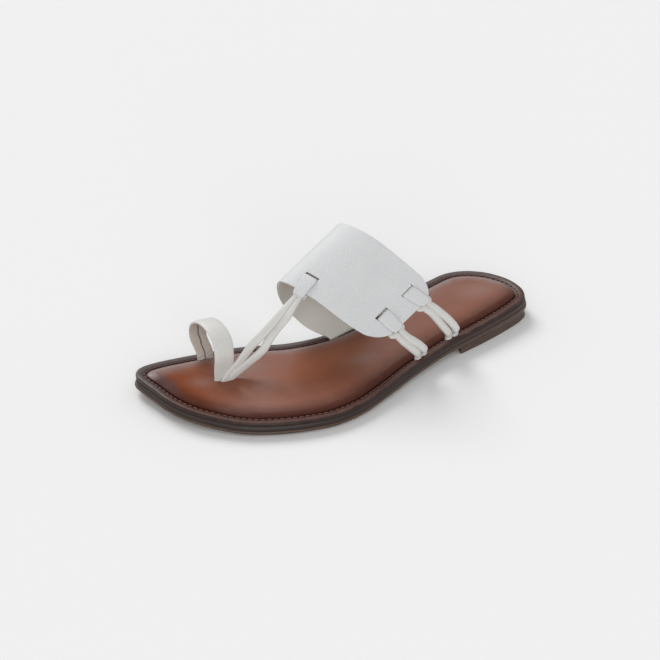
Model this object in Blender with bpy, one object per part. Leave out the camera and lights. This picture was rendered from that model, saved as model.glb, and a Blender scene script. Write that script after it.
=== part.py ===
"""A left slip-on sandal with a toe loop, an instep band and doubled leather cords.

Metres, +Z up. The toe points along +X and the outer side of the foot is +Y.
The origin is on the floor, under the middle of the sole's outline.
Each solid is a piece that a maker would cut: the layers of the sole, the band, the loop,
the cords and the folded tabs that hold the cords to the band.
"""

import math

import bpy
import numpy as np

# Overall sizes
SHOE_LENGTH = 0.2532
BALL_WIDTH = 0.0900
INSTEP_RISE = 0.0670  # highest edge of the band above the rim
LOOP_RISE = 0.0290  # top of the toe loop above the rim

# Sole layers, from the floor up
HEEL_PITCH = 0.0059  # how far the outsole is lifted at the back of the heel
TOE_SPRING = 0.0044  # how far it is lifted at the tip of the toe
OUTSOLE_THICKNESS = 0.0027
MIDSOLE_THICKNESS = 0.0029
BOARD_THICKNESS = 0.0024
MIDSOLE_STEP = 0.0007  # the midsole is trimmed back, which leaves a groove under the rim
RIM_WIDTH = 0.0058
RIM_ROUND = 0.0006
RIM_SLOPE = 0.0016  # the width over which the rim falls to the bed of the footbed
BED_DEPTH = 0.0010  # how far the bed of the footbed is below the rim
FOOTBED_PROUD = 0.0012  # how far the footbed stands above the rim
FOOTBED_EDGE = 0.0006  # the footbed's thickness at its own edge
FOOTBED_ROUND = 0.0045  # the width over which it rises from its edge
BREAST_CURVE = 0.0030  # how far the front of the heel lift is hollowed

# Straps
BAND_THICKNESS = 0.0016
BAND_CORNER = 0.0115
LOOP_WIDTH = 0.0122
LOOP_THICKNESS = 0.0018
LOOP_SEAT = 0.0063  # from the sole's edge to the middle of the far leg
FRONT_CORD_WIDTH = 0.0046
FRONT_CORD_THICKNESS = 0.0023
SIDE_CORD_WIDTH = 0.0048
SIDE_CORD_THICKNESS = 0.0034
SIDE_CORD_INSET = 0.0039  # from the sole's outer edge to the middle of a cord
CORD_IN_EYE = 0.0023  # a cord's thickness where it is squeezed in the eye of its tab
TAB_WIDTH = 0.0090
FRONT_EYE_WIDTH = 0.0036  # the tab's width where it goes round the front cord
SIDE_EYE_WIDTH = 0.0080
STRAND_RISE = 0.0040  # where a strand starts to lean, above the rim
TAB_THICKNESS = 0.0012
FRONT_TAB_REACH = 0.0104  # from the band's edge to the slit that the tab comes out of
SIDE_TABS_REACH = {"front": 0.0125, "rear": 0.0128}

# Clearance between pieces that touch
GAP = 0.0003

# Where the sole is flat on the floor, and where the heel lift ends, as shares of the length
FLAT_FROM = 0.645
FLAT_TO = 0.790
HEEL_BREAST = 0.243
HEEL_CURVE_POWER = 1.10
TOE_CURVE_POWER = 1.75

# Where the straps enter the sole, as shares of the length
BAND_ROOT_FRONT = 0.522
BAND_ROOT_BACK = 0.314
LOOP_ALONG = 0.820
SIDE_CORDS_ALONG = {"front": 0.368, "rear": 0.263}
ROOT_SHIFT = 0.14  # how far heelwards of the loop's middle the front cord enters, in loop widths
LOOP_NEAR_ACROSS = -0.040  # the near leg, as a share of the ball width

# Where the tabs sit on the band: the front one along its front edge, the side ones across its end
FRONT_TAB_ALONG = 0.669
SIDE_TABS_ACROSS = {"front": 0.33, "rear": 0.745}
# How far each tab leans along the band's edge, as a share of the way from its slit to its eye
FRONT_TAB_SKEW = 0.13
SIDE_TABS_SKEW = {"front": -0.20, "rear": 0.10}

# How finely the meshes are cut
OUTLINE_DENSE = 90
OUTLINE_STATIONS = 44
BAND_STATIONS = 42
BAND_SPAN_STEPS = 24
CORD_SIDES = 10
CORD_SPAN_STEPS = 2
HEEL_ROWS = 15
HEEL_ACROSS = 9
HEEL_FIRST_TURN = 0.12  # the first row's place on the heel's quarter turn, in radians
BREAST_FADE = 4  # the power that keeps the hollow near the front of the heel lift
SLOPE_STEP = 0.0006  # the step over which a slope or a direction is measured

# Sole outline seen from above, heel back first, along the inner side to the toe and back
# along the outer side. along is a share of SHOE_LENGTH from the heel, across one of BALL_WIDTH.
OUTLINE = (
    # place, along, across
    ("heel back", 0.000, -0.250),
    ("heel inner back", 0.006, -0.340),
    ("heel inner back", 0.019, -0.420),
    ("heel inner", 0.043, -0.512),
    ("heel inner", 0.085, -0.597),
    ("heel widest inner", 0.130, -0.624),
    ("seat inner", 0.183, -0.590),
    ("seat inner front", 0.262, -0.510),
    ("waist inner", 0.361, -0.402),
    ("arch inner", 0.460, -0.308),
    ("arch narrowest", 0.539, -0.270),
    ("arch front", 0.618, -0.292),
    ("ball inner back", 0.697, -0.364),
    ("ball inner", 0.776, -0.411),
    ("big toe inner", 0.870, -0.419),
    ("big toe front", 0.938, -0.399),
    ("tip inner", 0.974, -0.366),
    ("tip inner", 0.991, -0.326),
    ("tip", 1.000, -0.270),
    ("tip outer", 0.997, -0.200),
    ("tip outer", 0.987, -0.098),
    ("toes outer", 0.971, 0.069),
    ("toes outer", 0.945, 0.211),
    ("small toe", 0.908, 0.333),
    ("small toe outer", 0.851, 0.469),
    ("ball outer front", 0.780, 0.560),
    ("ball outer", 0.709, 0.610),
    ("ball widest outer", 0.645, 0.624),
    ("ball outer back", 0.578, 0.589),
    ("waist outer front", 0.499, 0.491),
    ("waist outer", 0.400, 0.350),
    ("seat outer", 0.282, 0.206),
    ("heel outer", 0.164, 0.102),
    ("heel outer", 0.085, 0.020),
    ("heel outer", 0.037, -0.043),
    ("heel outer back", 0.013, -0.098),
    ("heel outer back", 0.002, -0.170),
)

# The band, from the inner side of the sole over the instep to its free outer end. Each row
# gives its front edge and its back edge. Heights are shares of INSTEP_RISE above the rim.
BAND = (
    # place, front along, front across, front height, back along, back across, back height
    ("inner wall", 0.568, -0.333, 0.103, 0.393, -0.454, 0.424),
    ("inner shoulder", 0.623, -0.373, 0.395, 0.447, -0.492, 0.722),
    ("crest", 0.639, -0.280, 0.655, 0.464, -0.399, 0.986),
    ("outer shoulder", 0.600, -0.047, 0.622, 0.430, -0.167, 0.990),
    ("outer slope", 0.545, 0.186, 0.452, 0.374, 0.042, 0.796),
    ("outer end", 0.483, 0.319, 0.284, 0.305, 0.132, 0.505),
)

# The toe loop. span runs from its far leg to its near leg, rise is a share of LOOP_RISE and lean
# is towards the toe, in loop widths.
LOOP = (
    # place, span, rise, lean
    ("far leg", -0.05, 0.17, 0.02),
    ("far side", -0.23, 0.48, 0.10),
    ("far shoulder", -0.18, 0.78, 0.14),
    ("top far", 0.08, 0.96, 0.09),
    ("top", 0.40, 1.00, 0.03),
    ("near shoulder", 0.77, 0.86, 0.00),
    ("near side", 0.95, 0.58, 0.00),
    ("near leg", 1.00, 0.28, 0.00),
)


# The sole's wall stands square to the curved sole, so its lower edge leans out at toe and heel.
# The origin is in the middle of the lower edge.
SOLE_THICKNESS = OUTSOLE_THICKNESS + MIDSOLE_THICKNESS + BOARD_THICKNESS + 2 * GAP
TOE_LEAN = TOE_SPRING * TOE_CURVE_POWER / (1 - FLAT_TO) / SHOE_LENGTH * SOLE_THICKNESS
HEEL_LEAN = HEEL_PITCH * HEEL_CURVE_POWER / FLAT_FROM / SHOE_LENGTH * SOLE_THICKNESS
MIDDLE = 0.5 + (TOE_LEAN - HEEL_LEAN) / 2 / SHOE_LENGTH


def catmull_rom(points, per_span, closed=False):
    """A smooth curve through the points, with per_span steps between two of them."""
    knots = np.asarray(points, float)
    if closed:
        knots = np.vstack([knots[-1], knots, knots[:2]])
    else:
        knots = np.vstack([2 * knots[0] - knots[1], knots, 2 * knots[-1] - knots[-2]])
    found = []
    for p0, p1, p2, p3 in zip(knots, knots[1:], knots[2:], knots[3:]):
        t1 = math.sqrt(np.linalg.norm(p1 - p0))
        t2 = t1 + math.sqrt(np.linalg.norm(p2 - p1))
        t3 = t2 + math.sqrt(np.linalg.norm(p3 - p2))
        for t in np.linspace(t1, t2, per_span, endpoint=False):
            a1 = (t1 - t) / t1 * p0 + t / t1 * p1
            a2 = (t2 - t) / (t2 - t1) * p1 + (t - t1) / (t2 - t1) * p2
            a3 = (t3 - t) / (t3 - t2) * p2 + (t - t2) / (t3 - t2) * p3
            b1 = (t2 - t) / t2 * a1 + t / t2 * a2
            b2 = (t3 - t) / (t3 - t1) * a2 + (t - t1) / (t3 - t1) * a3
            found.append((t2 - t) / (t2 - t1) * b1 + (t - t1) / (t2 - t1) * b2)
    if not closed:
        found.append(knots[-2])
    return np.array(found)


def unit(vector):
    return vector / np.linalg.norm(vector)


def outline_curve():
    """The sole's outline as a dense closed curve, centred on its own box."""
    table = [(along * SHOE_LENGTH, across * BALL_WIDTH) for _, along, across in OUTLINE]
    curve = catmull_rom(table, OUTLINE_DENSE, closed=True)
    middle = (curve.min(axis=0) + curve.max(axis=0)) / 2
    return curve - middle + np.array([(0.5 - MIDDLE) * SHOE_LENGTH, 0])


def x_at(along):
    """A place along the shoe, from its share of the rim's length."""
    return (along - MIDDLE) * SHOE_LENGTH


OUTLINE_POINTS = outline_curve()


def inset_curve(inset):
    """The outline moved inwards. It runs anticlockwise from the back of the heel."""
    before = np.roll(OUTLINE_POINTS, 1, axis=0)
    after = np.roll(OUTLINE_POINTS, -1, axis=0)
    along = after - before
    along /= np.linalg.norm(along, axis=1)[:, None]
    inwards = np.stack([-along[:, 1], along[:, 0]], axis=1)
    return OUTLINE_POINTS + inwards * inset


def sides_of(curve):
    """The inner side and the outer side of a closed curve, each from heel to toe."""
    heel = int(curve[:, 0].argmin())
    turned = np.roll(curve, -heel, axis=0)
    toe = int(turned[:, 0].argmax())
    inner = turned[: toe + 1]
    outer = np.vstack([turned[toe:], turned[:1]])[::-1]
    return inner, outer


def across_at(side, x):
    return np.interp(x, side[:, 0], side[:, 1])


def ring_of(inset, stations=OUTLINE_STATIONS):
    """A closed ring of points on the inset outline, in pairs that lie straight across."""
    inner, outer = sides_of(inset_curve(inset))
    middle = (inner[0, 0] + inner[-1, 0]) / 2
    half = (inner[-1, 0] - inner[0, 0]) / 2
    turn = np.linspace(0, math.pi, stations + 1)
    x = middle - half * np.cos(turn)
    there = np.stack([x, across_at(inner, x)], axis=1)
    back = np.stack([x, across_at(outer, x)], axis=1)[-2:0:-1]
    return np.vstack([there, back])


def share_of_length(x):
    return x / SHOE_LENGTH + MIDDLE


def sole_lift(x):
    """How far the outsole's underside is above the floor."""
    share = share_of_length(np.asarray(x, float))
    heelwards = np.maximum((FLAT_FROM - share) / FLAT_FROM, 0)
    toewards = np.maximum((share - FLAT_TO) / (1 - FLAT_TO), 0)
    return HEEL_PITCH * heelwards**HEEL_CURVE_POWER + TOE_SPRING * toewards**TOE_CURVE_POWER


def leaned(x, height):
    """Where a point of the wall at this height belongs, when the wall is square to the sole."""
    slope = (sole_lift(x + SLOPE_STEP) - sole_lift(x - SLOPE_STEP)) / (2 * SLOPE_STEP)
    return x + slope * (rim_top(x) - height)


def outsole_top(x):
    return sole_lift(x) + OUTSOLE_THICKNESS


def midsole_top(x):
    return outsole_top(x) + GAP + MIDSOLE_THICKNESS


def board_bottom(x):
    return midsole_top(x) + GAP


def rim_top(x):
    return board_bottom(x) + BOARD_THICKNESS


def footbed_bottom(x):
    return rim_top(x) - BED_DEPTH + GAP


def strap_foot(x):
    """The height of a strap's end inside the insole board."""
    return board_bottom(x) + 2 * GAP


def plan(along, across):
    """A place seen from above, from shares of the length and of the ball width."""
    return np.array([x_at(along), across * BALL_WIDTH])


def above_rim(spot, height):
    return np.array([spot[0], spot[1], rim_top(spot[0]) + height])


def material(name, colour, roughness):
    found = bpy.data.materials.new(name)
    found.use_nodes = True
    shader = found.node_tree.nodes["Principled BSDF"]
    shader.inputs["Base Color"].default_value = (*colour, 1)
    shader.inputs["Roughness"].default_value = roughness
    shader.inputs["Metallic"].default_value = 0
    return found


def piece(name, points, faces, finish, sharp=40):
    mesh = bpy.data.meshes.new(name)
    mesh.from_pydata([tuple(p) for p in points], [], [tuple(f) for f in faces])
    mesh.validate()
    mesh.shade_smooth()
    mesh.set_sharp_from_angle(angle=math.radians(sharp))
    made = bpy.data.objects.new(name, mesh)
    bpy.context.scene.collection.objects.link(made)
    if finish:
        mesh.materials.append(finish)
    return made


def cutter(name, points, faces):
    made = piece(name, points, faces, None)
    made.hide_render = True
    made.display_type = "WIRE"
    return made


def cut(target, tool):
    opening = target.modifiers.new("cut " + tool.name, "BOOLEAN")
    opening.operation = "DIFFERENCE"
    opening.solver = "EXACT"
    opening.object = tool


def slab(name, layers, finish):
    """A flat body of the sole. layers are (inset, height function) from the bottom up."""
    rings = []
    for inset, height in layers:
        ring = ring_of(inset)
        heights = height(ring[:, 0])
        rings.append(np.column_stack([leaned(ring[:, 0], heights), ring[:, 1], heights]))
    count = len(rings[0])
    faces = []
    for level in range(len(rings) - 1):
        low = level * count
        for i in range(count):
            j = (i + 1) % count
            faces.append((low + i, low + j, low + count + j, low + count + i))
    faces += pair_faces(count, 0, upwards=False)
    faces += pair_faces(count, (len(rings) - 1) * count, upwards=True)
    return piece(name, np.vstack(rings), faces, finish)


def pair_faces(count, first, upwards):
    """Faces straight across a ring of points, which fill its top or bottom."""
    half = count // 2
    faces = [(first, first + 1, first + count - 1)]
    for i in range(1, half - 1):
        faces.append((first + i, first + i + 1, first + count - i - 1, first + count - i))
    faces.append((first + half - 1, first + half, first + half + 1))
    return faces if upwards else [face[::-1] for face in faces]


def grid_faces(rows, columns, first=0, flip=False):
    """Faces between the points of a grid stored row by row."""
    faces = []
    for r in range(rows - 1):
        for c in range(columns - 1):
            a = first + r * columns + c
            face = (a, a + 1, a + columns + 1, a + columns)
            faces.append(face[::-1] if flip else face)
    return faces


def sheet_body(name, top, bottom, finish):
    """A closed body between two grids of points of the same size."""
    rows, columns = top.shape[:2]
    points = np.vstack([top.reshape(-1, 3), bottom.reshape(-1, 3)])
    under = rows * columns
    faces = grid_faces(rows, columns) + grid_faces(rows, columns, under, flip=True)
    rim = [c for c in range(columns)]
    rim += [r * columns + columns - 1 for r in range(1, rows)]
    rim += [(rows - 1) * columns + c for c in range(columns - 2, -1, -1)]
    rim += [r * columns for r in range(rows - 2, 0, -1)]
    for a, b in zip(rim, rim[1:] + rim[:1]):
        faces.append((b, a, under + a, under + b))
    return piece(name, points, faces, finish)


def heel_lift(finish):
    """The block under the heel: the outline's back end with a hollowed breast."""
    inner, outer = sides_of(OUTLINE_POINTS)
    back = inner[0, 0]
    breast = x_at(HEEL_BREAST)
    across = np.linspace(0, 1, HEEL_ACROSS)
    hollow = BREAST_CURVE * (1 - (2 * across - 1) ** 2)
    top, bottom = [], []
    for share in 1 - np.cos(np.linspace(HEEL_FIRST_TURN, math.pi / 2, HEEL_ROWS)):
        edge = back + (breast - back) * share
        y = across_at(inner, edge) + (across_at(outer, edge) - across_at(inner, edge)) * across
        x = edge - hollow * share**BREAST_FADE
        under = sole_lift(x)
        wall = leaned(x, under)
        top.append(np.column_stack([wall, y, under - GAP]))
        bottom.append(np.column_stack([wall, y, np.zeros(len(x))]))
    return sheet_body("heel_lift", np.array(top)[:, ::-1], np.array(bottom)[:, ::-1], finish)


def rounded_section(half_width, half_thickness, power, sides):
    """An oval section, squarer with a larger power, as pairs of side and normal offsets."""
    turn = np.arange(sides) * 2 * math.pi / sides + math.pi / sides
    c, s = np.cos(turn), np.sin(turn)
    a = np.sign(c) * np.abs(c) ** (2 / power) * half_width
    b = np.sign(s) * np.abs(s) ** (2 / power) * half_thickness
    return np.stack([a, b], axis=1)


def sweep(path, normals, widths, thicknesses, power=2.0, sides=CORD_SIDES):
    """A strap or cord along a path, with its flat side facing the normals."""
    path = np.asarray(path, float)
    tangents = np.gradient(path, axis=0)
    points = []
    for p, t, n, w, h in zip(path, tangents, normals, widths, thicknesses):
        t = unit(t)
        n = unit(n - t * (n @ t))
        side = np.cross(t, n)
        for a, b in rounded_section(w / 2, h / 2, power, sides):
            points.append(p + side * a + n * b)
    faces = []
    for r in range(len(path) - 1):
        for c in range(sides):
            a, b = r * sides + c, r * sides + (c + 1) % sides
            faces.append((a, b, b + sides, a + sides))
    last = (len(path) - 1) * sides
    faces.append(tuple(range(sides))[::-1])
    faces.append(tuple(last + c for c in range(sides)))
    return points, faces


def band_rows():
    """The band's front edge and back edge as points in space, root first."""
    seat = RIM_WIDTH - BAND_THICKNESS / 2 - GAP
    inner, _ = sides_of(inset_curve(seat))
    front, back = [], []
    for edge, along in ((front, BAND_ROOT_FRONT), (back, BAND_ROOT_BACK)):
        x = x_at(along)
        spot = np.array([x, across_at(inner, x)])
        edge.append(np.array([*spot, strap_foot(x)]))
        edge.append(above_rim(spot, 0))
    for _, along_f, across_f, height_f, along_b, across_b, height_b in BAND:
        front.append(above_rim(plan(along_f, across_f), height_f * INSTEP_RISE))
        back.append(above_rim(plan(along_b, across_b), height_b * INSTEP_RISE))
    return front, back


BAND_EDGES = [catmull_rom(edge, BAND_SPAN_STEPS) for edge in band_rows()]
BAND_ROOT_SHARE = 1 / (len(BAND) + 1)  # the part of the band's run that is inside the rim
ROOT_CUT_REACH = 1.3  # how far up the slit is cut, in shares of that part
ROOT_CUT_ROWS, ROOT_CUT_COLUMNS = 8, 6


def band_at(u, v):
    """A point in the middle of the band's wall: u from root to end, v from front to back."""
    place = u * (len(BAND_EDGES[0]) - 1)
    front, back = [
        np.array([np.interp(place, np.arange(len(edge)), edge[:, k]) for k in range(3)])
        for edge in BAND_EDGES
    ]
    return front + (back - front) * v


def band_frame(u, v):
    """The directions along the band, across it and out of it."""
    step = 0.012
    along = unit(band_at(min(u + step, 1), v) - band_at(max(u - step, 0), v))
    across = unit(band_at(u, 1) - band_at(u, 0))
    out = unit(np.cross(along, across))
    return along, across, out


def band_surface(u, v, depth):
    return band_at(u, v) + band_frame(u, v)[2] * depth


def corner_reach(v):
    """How far the band's end is cut back at v to round its corners."""
    length = np.linalg.norm(np.diff(BAND_EDGES[0], axis=0), axis=1).sum()
    width = np.linalg.norm(band_at(1, 1) - band_at(1, 0))
    from_side = min(v, 1 - v) * width
    if from_side >= BAND_CORNER:
        return 1.0
    short = BAND_CORNER - from_side
    return 1 - (BAND_CORNER - math.sqrt(BAND_CORNER**2 - short**2)) / length


def band_grid(us, vs, depth, rounded=True):
    return np.array(
        [[band_surface(u * (corner_reach(v) if rounded else 1), v, depth) for v in vs] for u in us]
    )


def instep_band(finish):
    width = np.linalg.norm(band_at(1, 1) - band_at(1, 0))
    corner = BAND_CORNER / width * (1 - np.cos(np.linspace(0, math.pi / 2, 5)))
    middle = np.linspace(BAND_CORNER / width, 1 - BAND_CORNER / width, 6)[1:-1]
    across = np.concatenate([corner, middle, 1 - corner[::-1]])
    along = np.linspace(0, 1, BAND_STATIONS)
    half = BAND_THICKNESS / 2
    return sheet_body(
        "instep_band", band_grid(along, across, half), band_grid(along, across, -half), finish
    )


def band_root_cutter():
    """The slit in the insole board that the band's inner end goes down through."""
    half = BAND_THICKNESS / 2 + GAP
    width = np.linalg.norm(band_at(0, 1) - band_at(0, 0))
    side = GAP / width
    along = np.linspace(0, BAND_ROOT_SHARE * ROOT_CUT_REACH, ROOT_CUT_ROWS)
    across = np.linspace(-side, 1 + side, ROOT_CUT_COLUMNS)
    top = band_grid(along, across, half, rounded=False)
    bottom = band_grid(along, across, -half, rounded=False)
    below = np.array([0, 0, -BOARD_THICKNESS])
    top = np.concatenate([[top[0] + below], top])
    bottom = np.concatenate([[bottom[0] + below], bottom])
    made = sheet_body("slit_for_band", top, bottom, None)
    made.hide_render = True
    made.display_type = "WIRE"
    return made


class Margin:
    """Places near an edge of the band, for a tab and the cord that it holds.

    s is the distance in from the edge, w the distance along the edge and d the one out of the wall.
    reach is how far in the tab's slit is, and eye the width of the tab round the cord. A front
    cord's eye stands out past the edge, and a side cord's is under the band.
    """

    def __init__(self, u, v, over_front, skew, reach, eye):
        self.u, self.v, self.over_front, self.skew = u, v, over_front, skew
        self.reach, self.eye = reach, eye
        self.eye_s = -(CORD_IN_EYE / 2 + 2 * GAP) if over_front else 0
        self.eye_d = -BAND_THICKNESS / 2
        if not over_front:
            self.eye_d -= GAP + CORD_IN_EYE / 2
        self.width = np.linalg.norm(band_at(u, 1) - band_at(u, 0))
        step = 0.01
        self.speed = np.linalg.norm(band_at(u, v) - band_at(u - step, v)) / step

    def place(self, s, w, d):
        w += self.skew * (self.reach - s)
        if self.over_front:
            u, v = self.u + w / self.speed, self.v
            along, across, out = band_frame(u, v)
            return band_at(u, v) + across * s + out * d
        v = self.v + w / self.width
        u = self.u - max(s, 0) / self.speed
        along, across, out = band_frame(u, v)
        return band_at(u, v) - along * min(s, 0) + out * d

    def out(self):
        return band_frame(self.u, self.v)[2]


# The radius of a tab's own middle where it goes round its cord, and the places of that turn
EYE_RADIUS = CORD_IN_EYE / 2 + 2 * GAP + TAB_THICKNESS / 2
FRONT_TURNS = (15, 50, 90, 130, 165)
SIDE_TURNS = (62, 95, 130, 165, 200)

# The tab's leg on the band. back and height are in heights of the leg above the wall's middle.
TAB_LEG = (
    # place, share of the reach, back from there, height
    ("in the slit", 1.00, 0.15, 0.75),
    ("bend", 1.00, 0.75, 1.00),
    ("middle", 0.45, 0.00, 1.00),
    ("near the edge", 0.12, 0.00, 1.00),
)
OVER_EDGE_HEIGHT = 0.6  # where a side tab goes over the band's edge, in wall thicknesses
NARROW_FROM = 0.45  # the share of the reach where a tab starts to narrow to its eye


def tab_route(margin):
    """The tab's closed way round the band's margin, as pairs of s and d, slit first."""
    reach = margin.reach
    leg = BAND_THICKNESS / 2 + GAP + TAB_THICKNESS / 2
    top = [(reach * share - leg * back, leg * height) for _, share, back, height in TAB_LEG]
    route = [(reach, 0)] + top
    if not margin.over_front:
        route.append((-GAP, leg))
        over = BAND_THICKNESS * OVER_EDGE_HEIGHT
        route.append((-2 * GAP - TAB_THICKNESS / 2, over))
    for turn in np.radians(FRONT_TURNS if margin.over_front else SIDE_TURNS):
        s = margin.eye_s - EYE_RADIUS * math.sin(turn)
        route.append((s, margin.eye_d + EYE_RADIUS * math.cos(turn)))
    low = top if margin.over_front else top[:-1]
    route += [(s, -d) for s, d in low[::-1]]
    return catmull_rom(route, 2, closed=True)


def tab(name, margin, finish):
    """A folded strip of leather: through its slit, over the edge, round the cord and back."""
    route = tab_route(margin)
    forward = np.roll(route, -1, axis=0) - np.roll(route, 1, axis=0)
    forward /= np.linalg.norm(forward, axis=1)[:, None]
    side = np.stack([-forward[:, 1], forward[:, 0]], axis=1) * TAB_THICKNESS / 2
    narrow = np.clip(route[:, 0] / (margin.reach * NARROW_FROM), 0, 1)
    halves = (margin.eye + (TAB_WIDTH - margin.eye) * narrow) / 2
    across = (-1, -1 / 3, 1 / 3, 1)
    rings = []
    for (s, d), (off_s, off_d), half in zip(route, side, halves):
        outer = [margin.place(s + off_s, w * half, d + off_d) for w in across]
        inner = [margin.place(s - off_s, w * half, d - off_d) for w in across]
        rings.append(outer + inner[::-1])
    count, around = len(rings), len(rings[0])
    faces = []
    for r in range(count):
        for c in range(around):
            a, b = r * around + c, r * around + (c + 1) % around
            a2, b2 = (r + 1) % count * around + c, (r + 1) % count * around + (c + 1) % around
            faces.append((a, b, b2, a2))
    return piece(name, np.array(rings).reshape(-1, 3), faces, finish, sharp=60)


def tab_slit_cutter(name, margin):
    half = TAB_THICKNESS / 2 + GAP
    across = np.linspace(-1, 1, 4) * (TAB_WIDTH / 2 + GAP)
    top, bottom = [
        np.array([[margin.place(margin.reach + s, w, d) for w in across] for s in (-half, half)])
        for d in (BAND_THICKNESS, -BAND_THICKNESS)
    ]
    made = sheet_body(name, top, bottom, None)
    made.hide_render = True
    made.display_type = "WIRE"
    return made


def face_outwards(made):
    """Turns a mesh's faces so that they all point out of it."""
    mesh = made.data
    volume = 0.0
    for polygon in mesh.polygons:
        corners = [np.array(mesh.vertices[i].co) for i in polygon.vertices]
        for b, c in zip(corners[1:], corners[2:]):
            volume += corners[0] @ np.cross(b, c)
    if volume < 0:
        mesh.flip_normals()
    return made


# Half of a cord's turn through its eye, from the middle out. down is a share of CORD_IN_EYE. across
# is 1 at the end of the eye, 2 at the outermost place of the strand and 3 where the strands lie
# side by side. swell is the growth to the cord's full size.
BIGHT = (
    # down, across, swell
    (0.00, 0.40, 0.0),
    (0.00, 0.95, 0.0),
    (0.10, 1.45, 0.0),
    (0.45, 1.90, 0.0),
    (1.50, 2.00, 0.0),
    (2.20, 2.30, 0.3),
    (3.00, 2.75, 0.7),
    (3.90, 3.00, 1.0),
)


def bight(margin, side, width):
    """Points and swells of one half of a cord's turn through its eye, from the middle out."""
    outermost = margin.eye / 2 + GAP + CORD_IN_EYE / 2
    places = (0, margin.eye / 2, outermost, width / 2 + GAP)
    half = []
    for down, across, swell in BIGHT:
        w = np.interp(across, range(len(places)), places)
        s = margin.eye_s - down * CORD_IN_EYE
        half.append((margin.place(s, side * w, margin.eye_d), swell))
    return half


def straight_hole(name, root, normal, width, thickness, power=2.0, sides=CORD_SIDES):
    """A cutter for the hole or slot that a strap goes down through, from above the footbed."""
    rim = above_rim(root, 0)
    heights = (-BOARD_THICKNESS * 2, 0, BOARD_THICKNESS * 2)
    line = [rim + np.array([0, 0, height]) for height in heights]
    points, faces = sweep(
        line,
        [np.asarray(normal)] * len(line),
        [width + 2 * GAP] * len(line),
        [thickness + 2 * GAP] * len(line),
        power,
        sides,
    )
    return face_outwards(cutter(name, points, faces))


# The part of a strand, from its eye to its root, where its flat side turns to face the root's way
TURN_FROM = 0.3
TURN_OVER = 0.5


def doubled_cord(name, margin, roots, root_normal, sway, width, thickness, finish):
    """One cord folded in two: up from the sole, through the tab's eye and down again.

    roots are the two places at the rim, first the one on the side of negative w, and sway
    holds rows of (share of the way down, push along the first root's outward normal).
    """
    out = margin.out()
    strands = []
    for side, root in zip((-1, 1), roots):
        head = bight(margin, side, width)
        mouth = above_rim(root, STRAND_RISE)
        throat = above_rim(root, 0)
        anchor = np.array([*root, strap_foot(root[0])])
        start = head[-1][0]
        way = mouth - start
        length = np.linalg.norm(way)
        between = [(start + way * share + np.array(push) * length, 1.0) for share, push in sway[side]]
        strands.append(head + between + [(mouth, 1.0), (throat, 1.0), (anchor, 1.0)])
    whole = strands[0][::-1] + strands[1]
    path = catmull_rom([p for p, _ in whole], CORD_SPAN_STEPS)
    place = np.linspace(0, len(whole) - 1, len(path))
    swell = np.interp(place, range(len(whole)), [share for _, share in whole])
    widths = CORD_IN_EYE + (width - CORD_IN_EYE) * swell
    thick = CORD_IN_EYE + (thickness - CORD_IN_EYE) * swell
    run = np.concatenate([[0], np.cumsum(np.linalg.norm(np.diff(path, axis=0), axis=1))])
    lean = np.abs(2 * run / run[-1] - 1)
    share = np.clip((lean - TURN_FROM) / TURN_OVER, 0, 1)[:, None]
    share = share**2 * (3 - 2 * share)
    normals = out * (1 - share) + np.asarray(root_normal) * share
    points, faces = sweep(path, normals, widths, thick)
    made = piece(name, points, faces, finish)
    cutters = []
    for index, root in enumerate(roots):
        hole = straight_hole(f"hole_{name}_{index}", root, root_normal, width, thickness)
        cutters.append(hole)
    return face_outwards(made), cutters


def loop_route():
    """The toe loop's way from its far leg in the sole over the toe to its near leg."""
    x = x_at(LOOP_ALONG)
    inner, _ = sides_of(inset_curve(LOOP_SEAT))
    far = across_at(inner, x)
    near = LOOP_NEAR_ACROSS * BALL_WIDTH
    route = [(x, far, strap_foot(x)), (x, far, rim_top(x))]
    for _, span, rise, lean in LOOP:
        y = far + (near - far) * span
        route.append((x + lean * LOOP_WIDTH, y, rim_top(x) + rise * LOOP_RISE))
    return np.array(route + [(x, near, rim_top(x)), (x, near, strap_foot(x))])


def toe_loop(finish):
    rows = loop_route()
    path = catmull_rom(rows, 3)
    tangents = np.gradient(path, axis=0)
    lengthwise = np.array([1.0, 0, 0])
    normals = [np.cross(lengthwise, t) for t in tangents]
    points, faces = sweep(
        path, normals, [LOOP_WIDTH] * len(path), [LOOP_THICKNESS] * len(path), power=6.0, sides=12
    )
    made = face_outwards(piece("toe_loop", points, faces, finish))
    cutters = []
    for name, foot in (("far", rows[0]), ("near", rows[-1])):
        cutters.append(
            straight_hole(
                f"slot_for_loop_{name}", foot[:2], (0, 1.0, 0), LOOP_WIDTH, LOOP_THICKNESS, 6.0, 12
            )
        )
    return made, cutters


def side_cord_roots(along):
    """Where a side cord's two strands enter the rim, and the rim's outward direction there."""
    _, outer = sides_of(inset_curve(SIDE_CORD_INSET))
    x = x_at(along)
    step = SIDE_CORD_WIDTH / 2
    edge = unit(np.array([2 * step, across_at(outer, x + step) - across_at(outer, x - step)]))
    middle = np.array([x, across_at(outer, x)])
    spread = edge * (SIDE_CORD_WIDTH / 2 + GAP)
    return (middle + spread, middle - spread), np.array([-edge[1], edge[0], 0])


def front_cord_roots():
    """Where the front cord's two strands enter the footbed, beside the loop's near leg."""
    x = x_at(LOOP_ALONG)
    y = LOOP_NEAR_ACROSS * BALL_WIDTH + LOOP_THICKNESS / 2 + 4 * GAP + FRONT_CORD_THICKNESS / 2
    spread = FRONT_CORD_WIDTH / 2 + GAP
    middle = x - LOOP_WIDTH * ROOT_SHIFT
    return (np.array([middle + spread, y]), np.array([middle - spread, y])), np.array([0, 1.0, 0])


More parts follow.
